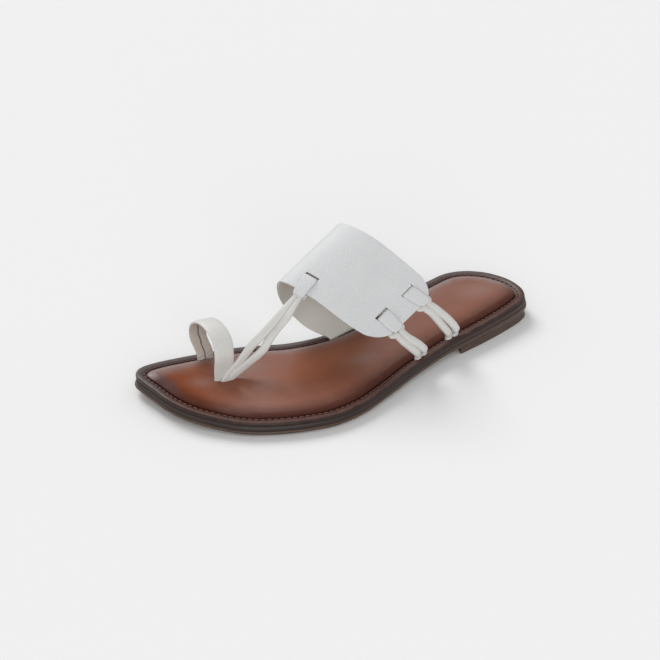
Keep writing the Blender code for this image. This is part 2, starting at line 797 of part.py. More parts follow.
# How the strands of each cord stray from a straight line between the eye and the sole:
# share of the way down, then the push in x, y and z as shares of that way.
FRONT_CORD_SWAY = {
    -1: ((0.40, (0, 0, 0.02)), (0.84, (0, 0, 0.04))),
    1: ((0.45, (0, 0, -0.03)), (0.84, (0, 0, -0.01))),
}
SIDE_CORD_SWAY = {
    -1: ((0.55, (0, 0.05, 0.02)),),
    1: ((0.55, (0, 0.12, 0.03)),),
}


def clear_scene():
    for found in list(bpy.data.objects):
        bpy.data.objects.remove(found, do_unlink=True)


def main():
    clear_scene()
    edge_leather = material("sole_leather", (0.085, 0.060, 0.052), 0.55)
    rim_leather = material("rim_leather", (0.060, 0.040, 0.034), 0.45)
    heel_leather = material("heel_leather", (0.105, 0.078, 0.066), 0.60)
    tan_leather = material("footbed_leather", (0.200, 0.075, 0.034), 0.38)
    white_leather = material("white_leather", (0.640, 0.640, 0.630), 0.55)

    heel_lift(heel_leather)
    slab("outsole", ((0, sole_lift), (0, outsole_top)), edge_leather)
    slab(
        "midsole",
        ((MIDSOLE_STEP, lambda x: outsole_top(x) + GAP), (MIDSOLE_STEP, midsole_top)),
        rim_leather,
    )
    board = slab(
        "insole_board",
        (
            (0, board_bottom),
            (0, lambda x: rim_top(x) - RIM_ROUND),
            (RIM_ROUND, rim_top),
            (RIM_WIDTH - RIM_SLOPE, rim_top),
            (RIM_WIDTH, lambda x: rim_top(x) - BED_DEPTH),
        ),
        rim_leather,
    )
    footbed = slab(
        "footbed",
        (
            (RIM_WIDTH + GAP, footbed_bottom),
            (RIM_WIDTH + GAP, lambda x: footbed_bottom(x) + FOOTBED_EDGE),
            (RIM_WIDTH + FOOTBED_ROUND / 3, lambda x: rim_top(x) + FOOTBED_PROUD / 3),
            (RIM_WIDTH + FOOTBED_ROUND, lambda x: rim_top(x) + FOOTBED_PROUD),
        ),
        tan_leather,
    )

    band = face_outwards(instep_band(white_leather))
    front = Margin(FRONT_TAB_ALONG, 0, True, FRONT_TAB_SKEW, FRONT_TAB_REACH, FRONT_EYE_WIDTH)
    margins = {
        name: Margin(1, v, False, SIDE_TABS_SKEW[name], SIDE_TABS_REACH[name], SIDE_EYE_WIDTH)
        for name, v in SIDE_TABS_ACROSS.items()
    }
    face_outwards(tab("front_tab", front, white_leather))
    cut(band, face_outwards(tab_slit_cutter("slit_front_tab", front)))
    for name, margin in margins.items():
        face_outwards(tab(f"side_tab_{name}", margin, white_leather))
        cut(band, face_outwards(tab_slit_cutter(f"slit_side_tab_{name}", margin)))

    holes = [face_outwards(band_root_cutter())]
    _, slots = toe_loop(white_leather)
    holes += slots
    roots, normal = front_cord_roots()
    _, slots = doubled_cord(
        "front_cord",
        front,
        roots,
        normal,
        FRONT_CORD_SWAY,
        FRONT_CORD_WIDTH,
        FRONT_CORD_THICKNESS,
        white_leather,
    )
    holes += slots
    for name, along in SIDE_CORDS_ALONG.items():
        roots, normal = side_cord_roots(along)
        _, slots = doubled_cord(
            f"side_cord_{name}",
            margins[name],
            roots,
            normal,
            SIDE_CORD_SWAY,
            SIDE_CORD_WIDTH,
            SIDE_CORD_THICKNESS,
            white_leather,
        )
        holes += slots
    for hole in holes:
        cut(board, hole)
        cut(footbed, hole)


main()
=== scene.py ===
"""Dresses the packed sandal in its leathers: sole layers, stitched rim, footbed and straps."""

import math

import bpy
import numpy as np
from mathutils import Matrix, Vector


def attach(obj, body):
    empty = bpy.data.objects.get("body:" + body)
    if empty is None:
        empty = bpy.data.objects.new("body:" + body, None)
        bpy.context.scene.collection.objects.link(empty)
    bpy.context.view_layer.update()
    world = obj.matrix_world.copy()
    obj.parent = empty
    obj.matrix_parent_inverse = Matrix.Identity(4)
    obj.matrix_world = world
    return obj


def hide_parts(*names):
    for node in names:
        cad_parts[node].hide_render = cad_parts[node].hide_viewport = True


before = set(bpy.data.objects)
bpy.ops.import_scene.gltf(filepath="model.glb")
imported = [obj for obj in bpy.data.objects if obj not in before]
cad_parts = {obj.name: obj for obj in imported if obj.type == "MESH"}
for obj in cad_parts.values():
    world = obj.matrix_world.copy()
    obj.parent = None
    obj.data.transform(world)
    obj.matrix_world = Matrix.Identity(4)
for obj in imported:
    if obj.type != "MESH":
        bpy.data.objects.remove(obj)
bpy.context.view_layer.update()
ROOT = "root"

# Camera and light
CAMERA_TARGET = (0.00435, -0.0208, 0.015)
CAMERA_PLACE = (0.41445, 0.8391, 0.565)
CAMERA_LENS = 100.0
CAMERA_SENSOR = 36.0
FLOOR_SIZE = 9.0
FLOOR_DARK = (0.80, 0.80, 0.80, 1)
FLOOR_LIGHT = (0.805, 0.805, 0.805, 1)
WORLD_STRENGTH = 0.59
KEY_STRENGTH = 1.78
KEY_ANGLE = 30.0
KEY_FROM = (0.04, -0.76, 0.68)
FILL_STRENGTH = 1.38
FILL_ANGLE = 45.0
FILL_FROM = (0.36, 0.87, 0.26)

# Sizes of the sandal, in metres, or shares of its length and width: those of its solids
SHOE_LENGTH = 0.2532
BALL_WIDTH = 0.0900
INSTEP_RISE = 0.0670
LOOP_RISE = 0.0290
HEEL_PITCH = 0.0059
TOE_SPRING = 0.0044
OUTSOLE_THICKNESS = 0.0027
MIDSOLE_THICKNESS = 0.0029
BOARD_THICKNESS = 0.0024
RIM_WIDTH = 0.0058
BED_DEPTH = 0.0010
BREAST_CURVE = 0.0030
BAND_THICKNESS = 0.0016
BAND_CORNER = 0.0115
LOOP_WIDTH = 0.0122
LOOP_THICKNESS = 0.0018
LOOP_SEAT = 0.0063
FRONT_CORD_THICKNESS = 0.0023
SIDE_CORD_WIDTH = 0.0048
SIDE_CORD_THICKNESS = 0.0034
SIDE_CORD_INSET = 0.0039
CORD_IN_EYE = 0.0023
TAB_WIDTH = 0.0090
SIDE_EYE_WIDTH = 0.0080
TAB_THICKNESS = 0.0012
FRONT_TAB_REACH = 0.0104
SIDE_TABS_REACH = {"front": 0.0125, "rear": 0.0128}
GAP = 0.0003
FLAT_FROM = 0.645
FLAT_TO = 0.790
HEEL_BREAST = 0.243
HEEL_CURVE_POWER = 1.10
TOE_CURVE_POWER = 1.75
BAND_ROOT_FRONT = 0.522
BAND_ROOT_BACK = 0.314
LOOP_ALONG = 0.820
SIDE_CORDS_ALONG = {"front": 0.368, "rear": 0.263}
ROOT_SHIFT = 0.14
LOOP_NEAR_ACROSS = -0.040
FRONT_TAB_ALONG = 0.669
SIDE_TABS_ACROSS = {"front": 0.33, "rear": 0.745}
FRONT_TAB_SKEW = 0.13
SIDE_TABS_SKEW = {"front": -0.20, "rear": 0.10}

OUTLINE = (
    # place, then pairs: along as a share of the length, across as a share of the ball width
    ("heel back", (0.000, -0.250), (0.006, -0.340), (0.019, -0.420)),
    ("heel inner", (0.043, -0.512), (0.085, -0.597), (0.130, -0.624)),
    ("seat inner", (0.183, -0.590), (0.262, -0.510)),
    ("arch inner", (0.361, -0.402), (0.460, -0.308), (0.539, -0.270), (0.618, -0.292)),
    ("ball inner", (0.697, -0.364), (0.776, -0.411)),
    ("big toe", (0.870, -0.419), (0.938, -0.399)),
    ("tip", (0.974, -0.366), (0.991, -0.326), (1.000, -0.270), (0.997, -0.200), (0.987, -0.098)),
    ("toes outer", (0.971, 0.069), (0.945, 0.211), (0.908, 0.333), (0.851, 0.469)),
    ("ball outer", (0.780, 0.560), (0.709, 0.610), (0.645, 0.624), (0.578, 0.589)),
    ("waist outer", (0.499, 0.491), (0.400, 0.350)),
    ("seat outer", (0.282, 0.206), (0.164, 0.102)),
    ("heel outer", (0.085, 0.020), (0.037, -0.043), (0.013, -0.098), (0.002, -0.170)),
)

BAND = (
    # place, front along, front across, front height, back along, back across, back height
    ("inner wall", 0.568, -0.333, 0.103, 0.393, -0.454, 0.424),
    ("inner shoulder", 0.623, -0.373, 0.395, 0.447, -0.492, 0.722),
    ("crest", 0.639, -0.280, 0.655, 0.464, -0.399, 0.986),
    ("outer shoulder", 0.600, -0.047, 0.622, 0.430, -0.167, 0.990),
    ("outer slope", 0.545, 0.186, 0.452, 0.374, 0.042, 0.796),
    ("outer end", 0.483, 0.319, 0.284, 0.305, 0.132, 0.505),
)

LOOP = (
    # place, share of the span from the far leg, share of the rise, lean in loop widths
    ("far leg", -0.05, 0.16, 0.02),
    ("far side", -0.25, 0.42, 0.13),
    ("far shoulder", -0.20, 0.72, 0.15),
    ("top far", 0.05, 0.93, 0.09),
    ("top", 0.42, 1.00, -0.02),
    ("near shoulder", 0.84, 0.88, -0.09),
    ("near side", 1.01, 0.60, -0.05),
    ("near leg", 1.01, 0.28, 0.00),
)
LOOP_LEG_WIDTH = 0.0102  # the far leg's width, which grows over the toe to the near leg's
LOOP_STRAP_WIDTH = 0.0119
LOOP_WIDENING = 1.6

# Fineness of the dressed pieces, in points or steps
OUTLINE_DENSE = 90
SOLE_STATIONS = 170
ACROSS_FOOTBED = 44
BAND_SPAN_STEPS = 40
BAND_STATIONS = 150
BAND_ACROSS = 60
CORD_SIDES = 24
CORD_STEPS = 10
TAB_STEPS = 7
BREAST_STEPS = 26
HEEL_STRIDE = 6
TAB_ACROSS = 15
LOOP_STEPS = 16
LOOP_ACROSS = 41

# Details that only the dressed pieces have
STITCH_INSET = 0.0043
STITCH_PITCH = 0.0036
STITCH_LENGTH = 0.0029
STITCH_RADIUS = 0.00045
STITCH_CHANNEL = 0.00055
STITCH_LIFT = 0.55  # how far a thread's middle lies over the channel, in radii
STITCH_FLATNESS = 0.8
STITCH_TURN = 0.05
STITCH_TILT = 0.00004
STITCHLESS_ROUND_CORD = 0.75
STITCHLESS_ROUND_BAND = 0.6
HEEL_SWELL = 0.0011
HEEL_SWELL_FROM = 0.16
HEEL_SWELL_RUN = 0.12
INNER_SPREAD = 0.0011
INNER_SPREAD_REACH = 0.0038
WEAR_RUN = 0.012
CROWN_RISE = 0.0005
CROWN_REACH = 0.012
PULL_SHIFT = (-0.001, 0.002)
PULL_DEPTH = 0.0006
PULL_REACH = 0.011
EDGE_ROLL = 0.00055
CORNER_RUN = 0.14
KNUCKLE_RUN = 0.0022
KNUCKLE_PINCH = 0.0016
FRONT_TAB_WAIST = 0.0080
FRONT_TAB_WAIST_END = 0.003
SIDE_TAB_TAPER = 0.45
LOOP_CROWN = 0.00022
SEAM_DEPTH = 0.0004
SEAM_WIDTH = 0.00028
SEAM_WAVES = ((0.0004, 0.0034), (0.0002, 0.0013))
PUCKER_DEPTH = 0.00018
PUCKER_LENGTH = 0.0004
PUCKER_FROM = 0.006
PUCKER_FADE = 0.008
CORD_POWER = 2.4
CORD_TURN_FROM = 0.3
CORD_TURN_RUN = 0.5
SIDE_EYE_UNDER = 0.0010
FRONT_ROOT_THICKNESS = 0.0017
FRONT_ROOT_SPREAD = 0.0033
FRONT_STRAND_WIDTH = 0.0050
FRONT_STRAND_RISE = 0.0016
SIDE_STRAND_RISE = 0.0024


def smooth(share):
    share = np.clip(share, 0, 1)
    return share**2 * (3 - 2 * share)


def unit(vector):
    return vector / np.linalg.norm(vector, axis=-1, keepdims=True)


def ways_round(ring):
    """The direction in which a closed ring runs at each of its points."""
    return unit(np.roll(ring, -1, axis=0) - np.roll(ring, 1, axis=0))


def to_left(along):
    return np.stack([-along[..., 1], along[..., 0]], axis=-1)


def run_along(curve):
    """The length of a curve up to each of its points."""
    return np.concatenate([[0], np.cumsum(np.linalg.norm(np.diff(curve, axis=0), axis=1))])


def ring_faces(rings, around, closed=False):
    """Faces between rings of points. closed joins the last ring to the first."""
    faces = []
    for ring in range(rings if closed else rings - 1):
        low = ring * around
        high = (ring + 1) % rings * around
        for i in range(around):
            j = (i + 1) % around
            faces.append((low + i, low + j, high + j, high + i))
    return faces


def end_faces(rings, around):
    last = (rings - 1) * around
    return [tuple(range(around))[::-1], tuple(range(last, last + around))]


def catmull_rom(points, per_span, closed=False):
    """A smooth curve through the points, with per_span steps between two of them."""
    knots = np.asarray(points, float)
    if closed:
        knots = np.vstack([knots[-1], knots, knots[:2]])
    else:
        knots = np.vstack([2 * knots[0] - knots[1], knots, 2 * knots[-1] - knots[-2]])
    found = []
    for p0, p1, p2, p3 in zip(knots, knots[1:], knots[2:], knots[3:]):
        t1 = math.sqrt(np.linalg.norm(p1 - p0))
        t2 = t1 + math.sqrt(np.linalg.norm(p2 - p1))
        t3 = t2 + math.sqrt(np.linalg.norm(p3 - p2))
        t = np.linspace(t1, t2, per_span, endpoint=False)[:, None]
        a1 = (t1 - t) / t1 * p0 + t / t1 * p1
        a2 = (t2 - t) / (t2 - t1) * p1 + (t - t1) / (t2 - t1) * p2
        a3 = (t3 - t) / (t3 - t2) * p2 + (t - t2) / (t3 - t2) * p3
        b1 = (t2 - t) / t2 * a1 + t / t2 * a2
        b2 = (t3 - t) / (t3 - t1) * a2 + (t - t1) / (t3 - t1) * a3
        found.append((t2 - t) / (t2 - t1) * b1 + (t - t1) / (t2 - t1) * b2)
    found = np.vstack(found)
    return found if closed else np.vstack([found, knots[-2]])


SOLE_THICKNESS = OUTSOLE_THICKNESS + MIDSOLE_THICKNESS + BOARD_THICKNESS + 2 * GAP
TOE_LEAN = TOE_SPRING * TOE_CURVE_POWER / (1 - FLAT_TO) / SHOE_LENGTH * SOLE_THICKNESS
HEEL_LEAN = HEEL_PITCH * HEEL_CURVE_POWER / FLAT_FROM / SHOE_LENGTH * SOLE_THICKNESS
MIDDLE = 0.5 + (TOE_LEAN - HEEL_LEAN) / 2 / SHOE_LENGTH
SLOPE_STEP = 0.0006


def x_at(along):
    return (along - MIDDLE) * SHOE_LENGTH


def plan(along, across):
    return np.array([x_at(along), across * BALL_WIDTH])


def outline_curve():
    shares = [pair for _, *pairs in OUTLINE for pair in pairs]
    curve = catmull_rom(np.array(shares) * (SHOE_LENGTH, BALL_WIDTH), OUTLINE_DENSE, closed=True)
    middle = (curve.min(axis=0) + curve.max(axis=0)) / 2
    return curve - middle + np.array([(0.5 - MIDDLE) * SHOE_LENGTH, 0])


OUTLINE_POINTS = outline_curve()


def inset_curve(inset):
    return OUTLINE_POINTS + to_left(ways_round(OUTLINE_POINTS)) * inset


def sides_of(curve):
    """The inner side and the outer side of a closed curve, each from heel to toe."""
    turned = np.roll(curve, -int(curve[:, 0].argmin()), axis=0)
    toe = int(turned[:, 0].argmax())
    return turned[: toe + 1], np.vstack([turned[toe:], turned[:1]])[::-1]


def across_at(side, x):
    return np.interp(x, side[:, 0], side[:, 1])


def ring_of(inset, stations=SOLE_STATIONS):
    """A closed ring on the inset outline, in pairs of points that lie straight across."""
    inner, outer = sides_of(inset_curve(inset))
    middle = (inner[0, 0] + inner[-1, 0]) / 2
    half = (inner[-1, 0] - inner[0, 0]) / 2
    x = middle - half * np.cos(np.linspace(0, math.pi, stations + 1))
    there = np.stack([x, across_at(inner, x)], axis=1)
    back = np.stack([x, across_at(outer, x)], axis=1)[-2:0:-1]
    return np.vstack([there, back])


def sole_lift(x):
    share = np.asarray(x, float) / SHOE_LENGTH + MIDDLE
    heelwards = np.maximum((FLAT_FROM - share) / FLAT_FROM, 0)
    toewards = np.maximum((share - FLAT_TO) / (1 - FLAT_TO), 0)
    return HEEL_PITCH * heelwards**HEEL_CURVE_POWER + TOE_SPRING * toewards**TOE_CURVE_POWER


def outsole_top(x):
    return sole_lift(x) + OUTSOLE_THICKNESS


def midsole_top(x):
    return outsole_top(x) + GAP + MIDSOLE_THICKNESS


def board_bottom(x):
    return midsole_top(x) + GAP


def rim_top(x):
    return board_bottom(x) + BOARD_THICKNESS


def strap_foot(x):
    return board_bottom(x) + 2 * GAP


def leaned(x, height):
    """Where a point of the wall at this height belongs, when the wall is square to the sole."""
    slope = (sole_lift(x + SLOPE_STEP) - sole_lift(x - SLOPE_STEP)) / (2 * SLOPE_STEP)
    return x + slope * (rim_top(x) - height)


def above_rim(spot, height):
    return np.array([spot[0], spot[1], rim_top(spot[0]) + height])


def add_piece(name, points, faces, finishes, face_finish=None, marks=None, sharp=50):
    """A mesh with its finishes. marks are the values that the finishes read at each point."""
    mesh = bpy.data.meshes.new(name)
    mesh.from_pydata([tuple(p) for p in points], [], [tuple(f) for f in faces])
    if face_finish is not None:
        mesh.polygons.foreach_set("material_index", np.asarray(face_finish, np.int32))
    for finish in finishes:
        mesh.materials.append(finish)
    for label, values in (marks or {}).items():
        layer = mesh.attributes.new(label, "FLOAT", "POINT")
        layer.data.foreach_set("value", np.asarray(values, np.float32).ravel())
    mesh.shade_smooth()
    mesh.set_sharp_from_angle(angle=math.radians(sharp))
    made = bpy.data.objects.new(name, mesh)
    bpy.context.scene.collection.objects.link(made)
    return made


def dress(made, slot, *nodes):
    """Says which body the piece rides on and which solids it stands for. slot is not used."""
    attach(made, ROOT)
    if nodes:
        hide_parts(*nodes)
    return made


def face_outwards(made):
    mesh = made.data
    points = np.empty(len(mesh.vertices) * 3)
    mesh.vertices.foreach_get("co", points)
    points = points.reshape(-1, 3)
    mesh.calc_loop_triangles()
    corners = np.empty(len(mesh.loop_triangles) * 3, np.int32)
    mesh.loop_triangles.foreach_get("vertices", corners)
    a, b, c = (points[corners.reshape(-1, 3)[:, k]] for k in range(3))
    if (a * np.cross(b, c)).sum() < 0:
        mesh.flip_normals()
    return made


def set_inputs(tree, made, inputs):
    """Gives a node its inputs, by name or by index: values, or sockets to link."""
    for key, value in inputs.items():
        if isinstance(value, bpy.types.NodeSocket):
            tree.links.new(value, made.inputs[key])
        else:
            made.inputs[key].default_value = value


def node(tree, kind, inputs, **settings):
    made = tree.nodes.new("ShaderNode" + kind)
    for key, value in settings.items():
        setattr(made, key, value)
    set_inputs(tree, made, inputs)
    return made


def use(tree, group, inputs):
    """Adds a node group and gives its output."""
    made = tree.nodes.new("ShaderNodeGroup")
    made.node_tree = group
    set_inputs(tree, made, inputs)
    return made.outputs[0]


def math_node(tree, operation, a, b=0.0, clamp=False):
    return node(tree, "Math", {0: a, 1: b}, operation=operation, use_clamp=clamp).outputs[0]


def times(tree, a, b):
    return math_node(tree, "MULTIPLY", a, b)


def minus(tree, a, b, clamp=False):
    return math_node(tree, "SUBTRACT", a, b, clamp)


def noise(tree, place, scale, detail, roughness=0.5):
    inputs = {"Vector": place, "Scale": scale, "Detail": detail, "Roughness": roughness}
    return node(tree, "TexNoise", inputs).outputs


def ramp(tree, value, start, full):
    """0 up to start and 1 from full on. It falls where full is smaller than start."""
    inputs = {0: value, 1: start, 2: full, 3: 0.0, 4: 1.0}
    return node(tree, "MapRange", inputs, interpolation_type="SMOOTHSTEP").outputs[0]


def blend_colour(tree, share, first, second):
    return node(tree, "Mix", {0: share, 6: first, 7: second}, data_type="RGBA").outputs[2]


def tint(tree, colour, tone, mask, strength):
    """The colour, turned towards the tone by this strength where the mask is full."""
    return blend_colour(tree, times(tree, mask, strength), colour, tone)


def srgb(red, green, blue):
    """A colour as seen on screen, from 0 to 255, made linear."""
    found = []
    for value in (red / 255, green / 255, blue / 255):
        found.append(value / 12.92 if value <= 0.04045 else ((value + 0.055) / 1.055) ** 2.4)
    return (*found, 1.0)


def new_group(name, output, **inputs):
    """A node group that gives one value. Its inputs are numbers or, as tuples, vectors."""
    tree = bpy.data.node_groups.new(name, "ShaderNodeTree")
    for label, value in inputs.items():
        kind = "NodeSocketVector" if isinstance(value, tuple) else "NodeSocketFloat"
        tree.interface.new_socket(label, in_out="INPUT", socket_type=kind).default_value = value
    tree.interface.new_socket(output, in_out="OUTPUT", socket_type="NodeSocketFloat")
    given = tree.nodes.new("NodeGroupInput").outputs
    return tree, given, tree.nodes.new("NodeGroupOutput").inputs[output]


def pebble_grain():
    """Leather grain: rounded cells with fine creases, as a height from 0 to 1."""
    tree, given, out = new_group(
        "pebble grain", "Height", Place=(0, 0, 0), Cells=900.0, Creases=0.5
    )
    drift = noise(tree, given["Place"], 260.0, 2.0)["Color"]
    bend = {0: drift, 1: (0.0011, 0.0011, 0.0011), 2: given["Place"]}
    bent = node(tree, "VectorMath", bend, operation="MULTIPLY_ADD").outputs[0]
    cells = node(
        tree, "TexVoronoi", {"Vector": bent, "Scale": given["Cells"]}, feature="DISTANCE_TO_EDGE"
    )
    rounded = ramp(tree, cells.outputs["Distance"], 0.0, 0.32)
    creases = times(tree, noise(tree, given["Place"], 3200.0, 3.0)["Fac"], given["Creases"])
    tree.links.new(math_node(tree, "ADD", rounded, creases), out)
    return tree


def mottle():
    """Slow and quick drifts of tone, from 0 to 1, for leather that was dyed by hand."""
    tree, given, out = new_group("mottle", "Tone", Place=(0, 0, 0), Scale=40.0, Contrast=1.0)
    slow = noise(tree, given["Place"], given["Scale"], 5.0, 0.6)["Fac"]
    scaled = times(tree, minus(tree, slow, 0.5), given["Contrast"])
    tree.links.new(math_node(tree, "ADD", scaled, 0.5, clamp=True), out)
    return tree


def soft_patch():
    """A soft oval patch: 1 at its centre, 0 outside."""
    tree, given, out = new_group(
        "soft patch", "Mask", Place=(0, 0, 0), Centre=(0, 0, 0), Reach=(0.01, 0.01, 0.01)
    )
    moved = node(tree, "VectorMath", {0: given["Place"], 1: given["Centre"]}, operation="SUBTRACT")
    sized = node(tree, "VectorMath", {0: moved.outputs[0], 1: given["Reach"]}, operation="DIVIDE")
    far = node(tree, "VectorMath", {0: sized.outputs[0]}, operation="LENGTH").outputs["Value"]
    tree.links.new(ramp(tree, far, 1.0, 0.0), out)
    return tree


def near_edge():
    """1 at an edge, falling to 0 at Width from it, broken up a little by noise."""
    tree, given, out = new_group(
        "near edge", "Mask", Distance=0.0, Width=0.003, Place=(0, 0, 0), Breakup=0.3
    )
    wander = minus(tree, noise(tree, given["Place"], 220.0, 4.0)["Fac"], 0.5)
    share = math_node(tree, "DIVIDE", given["Distance"], given["Width"])
    share = math_node(tree, "ADD", share, times(tree, wander, given["Breakup"]))
    tree.links.new(ramp(tree, share, 1.0, 0.0), out)
    return tree


GRAIN = pebble_grain()
MOTTLE = mottle()
PATCH = soft_patch()
NEAR_EDGE = near_edge()


def mark(tree, label):
    """A value that the mesh holds at each point."""
    return node(tree, "Attribute", {}, attribute_name=label).outputs["Fac"]


def tone_drift(tree, place, scale, contrast):
    return use(tree, MOTTLE, {"Place": place, "Scale": scale, "Contrast": contrast})


def leather_grain(tree, place, cells, creases):
    return use(tree, GRAIN, {"Place": place, "Cells": cells, "Creases": creases})


def edge_mask(tree, place, distance, width, breakup):
    inputs = {"Distance": distance, "Width": width, "Place": place, "Breakup": breakup}
    return use(tree, NEAR_EDGE, inputs)


def new_material(name, roughness, specular=0.5, coat=0.0, coat_roughness=0.3):
    made = bpy.data.materials.new(name)
    made.use_nodes = True
    tree = made.node_tree
    shader = tree.nodes["Principled BSDF"]
    shader.inputs["Roughness"].default_value = roughness
    shader.inputs["Specular IOR Level"].default_value = specular
    shader.inputs["Coat Weight"].default_value = coat
    shader.inputs["Coat Roughness"].default_value = coat_roughness
    place = node(tree, "TexCoord", {}).outputs["Object"]
    return made, tree, shader, place


def paint(tree, shader, colour, height, strength, depth):
    """Gives the shader its colour, and the height as a bump."""
    tree.links.new(colour, shader.inputs["Base Color"])
    bump = node(tree, "Bump", {"Strength": strength, "Distance": depth, "Height": height})
    tree.links.new(bump.outputs[0], shader.inputs["Normal"])


def outer_side(tree, axes):
    """1 on the outer half of the sole, 0 on its inner half."""
    middle = node(tree, "MapRange", {0: axes[0], 1: -0.127, 2: 0.0, 3: -0.022, 4: 0.0}).outputs[0]
    return ramp(tree, minus(tree, axes[1], middle), -0.012, 0.010)


FOOTBED_PATCHES = (
    # patches of tone, painted light and painted sheen: colour, strength, then rows of x, y, reach
    # along and reach across
    # burnished orange tone of the leather itself
    (
        (130, 66, 28),
        0.75,
        (0.094, -0.020, 0.010, 0.007),
        (0.106, 0.000, 0.013, 0.006),
        (0.080, 0.009, 0.013, 0.013),
        (0.040, 0.009, 0.036, 0.018),
        (-0.015, -0.004, 0.030, 0.012),
    ),
    # painted light: lifts the footbed where the band's shadow falls on it
    (
        (158, 94, 62),
        0.75,
        (0.014, 0.002, 0.036, 0.022),
    ),
    # painted sheen: pinkish grey reflections painted in patches
    (
        (140, 103, 92),
        0.60,
        (0.112, -0.025, 0.012, 0.010),
        (0.094, -0.004, 0.013, 0.010),
        (0.063, -0.012, 0.016, 0.016),
        (0.062, 0.013, 0.011, 0.014),
        (0.000, 0.012, 0.016, 0.010),
        (-0.100, -0.026, 0.024, 0.016),
    ),
)


def patches(tree, place, rows):
    """One mask that joins the soft patches of some rows."""
    mask = None
    for x, y, along, across in rows:
        spot = {"Place": place, "Centre": (x, y, 0.010), "Reach": (along, across, 0.05)}
        found = use(tree, PATCH, spot)
        mask = found if mask is None else math_node(tree, "MAXIMUM", mask, found)
    return mask


def footbed_leather():
    """Burnished dark along the outer edge, partly as painted shade, with a painted grey sheen along
    the inner edge, and patchy between: tone, painted light and painted sheen.
    """
    made, tree, shader, place = new_material("footbed_leather", 0.40, specular=0.35, coat=0.10)
    distance = mark(tree, "from_edge")
    axes = node(tree, "SeparateXYZ", {0: place}).outputs
    outer = outer_side(tree, axes)
    tip = times(tree, ramp(tree, axes[0], 0.076, 0.104), ramp(tree, axes[1], -0.028, -0.014))
    colour = blend_colour(
        tree, tone_drift(tree, place, 34.0, 1.5), srgb(116, 62, 39), srgb(135, 76, 50)
    )
    # Patches: orange tone, then painted light under the band and painted sheen.
    for tone, strength, *rows in FOOTBED_PATCHES:
        colour = tint(tree, colour, srgb(*tone), patches(tree, place, rows), strength)
    colour = tint(tree, colour, srgb(90, 46, 32), tone_drift(tree, place, 420.0, 1.2), 0.2)
    # Painted sheen: a grey reflection painted along the inner edge of the footbed.
    painted_sheen_share = times(tree, minus(tree, 1.0, outer), 0.75)
    edge_sheen_and_wear = edge_mask(tree, place, distance, 0.0110, 0.35)
    colour = tint(tree, colour, srgb(136, 122, 120), edge_sheen_and_wear, painted_sheen_share)
    # Partly burnish and partly painted shade: the outer edge and the toe tip are darkened where the
    # padding rolls away from the light.
    where = times(tree, math_node(tree, "MAXIMUM", outer, tip), 0.85)
    burnish_and_shade = times(tree, edge_mask(tree, place, distance, 0.0145, 0.25), where)
    colour = blend_colour(tree, burnish_and_shade, colour, srgb(54, 20, 14))
    colour = tint(tree, colour, srgb(52, 24, 20), edge_mask(tree, place, distance, 0.0018, 0.4), 0.6)
    dulled = math_node(tree, "MAXIMUM", times(tree, burnish_and_shade, 0.8), tip)
    shine = minus(tree, 1.0, times(tree, dulled, 0.95))
    tree.links.new(times(tree, shine, 0.35), shader.inputs["Specular IOR Level"])
    tree.links.new(times(tree, shine, 0.10), shader.inputs["Coat Weight"])
    paint(tree, shader, colour, leather_grain(tree, place, 1500.0, 0.6), 0.10, 0.0001)
    return made


def rim_leather():
    """Dark on its wall, with a painted highlight along its upper edge, and reddish on top up to the
    stitches, in two painted tones for the light on its outer and inner halves.
    """
    made, tree, shader, place = new_material("rim_leather", 0.45, specular=0.35, coat=0.12)
    inset = mark(tree, "inset")
    outer = outer_side(tree, node(tree, "SeparateXYZ", {0: place}).outputs)
    tone = tone_drift(tree, place, 160.0, 1.8)
    wall = blend_colour(tree, tone, srgb(38, 26, 24), srgb(62, 46, 43))
    # Painted light and shade: the top's outer and inner halves get two tones for how light falls on
    # each side.
    near = blend_colour(tree, tone, srgb(62, 32, 25), srgb(88, 53, 42))
    far = blend_colour(tree, tone, srgb(50, 36, 33), srgb(76, 60, 56))
    top = blend_colour(tree, outer, far, near)
    colour = blend_colour(tree, ramp(tree, inset, 0.0004, 0.0012), wall, top)
    # Painted highlight: a light line along the rim's upper outer edge.
    edge_highlight = times(tree, ramp(tree, inset, 0.0001, 0.0004), ramp(tree, inset, 0.0013, 0.0007))
    colour = tint(tree, colour, srgb(112, 84, 72), edge_highlight, times(tree, tone, 0.60))
    colour = tint(tree, colour, srgb(36, 18, 15), ramp(tree, inset, 0.0034, 0.0040), 0.75)
    tree.links.new(minus(tree, 0.35, times(tree, outer, 0.20)), shader.inputs["Specular IOR Level"])
    paint(tree, shader, colour, leather_grain(tree, place, 1100.0, 0.8), 0.35, 0.00015)
    return made


def layer_leather(name, dark, light, edge_sheen_and_wear, heel=None):
    """The side of a sole layer: fibres that run along it, and a lower edge painted lighter, partly
    as wear and partly as a painted highlight.

    heel is the tone that the layer takes towards the back of the shoe.
    """
    made, tree, shader, place = new_material(name, 0.5, specular=0.35, coat=0.08)
    fibres = {0: place, 1: (1.0, 1.0, 7.0)}
    stretched = node(tree, "VectorMath", fibres, operation="MULTIPLY").outputs[0]
    colour = blend_colour(tree, tone_drift(tree, stretched, 160.0, 1.7), srgb(*dark), srgb(*light))
    if heel:
        x = node(tree, "SeparateXYZ", {0: place}).outputs[0]
        colour = blend_colour(tree, ramp(tree, x, -0.035, -0.070), colour, srgb(*heel))
    # Lighter lower edge: wear, and a painted highlight along it.
    edge = edge_mask(tree, place, mark(tree, "from_edge"), 0.0007, 0.8)
    colour = tint(tree, colour, srgb(*edge_sheen_and_wear), edge, 0.6)
    paint(tree, shader, colour, tone_drift(tree, stretched, 900.0, 1.0), 0.4, 0.0002)
    return made


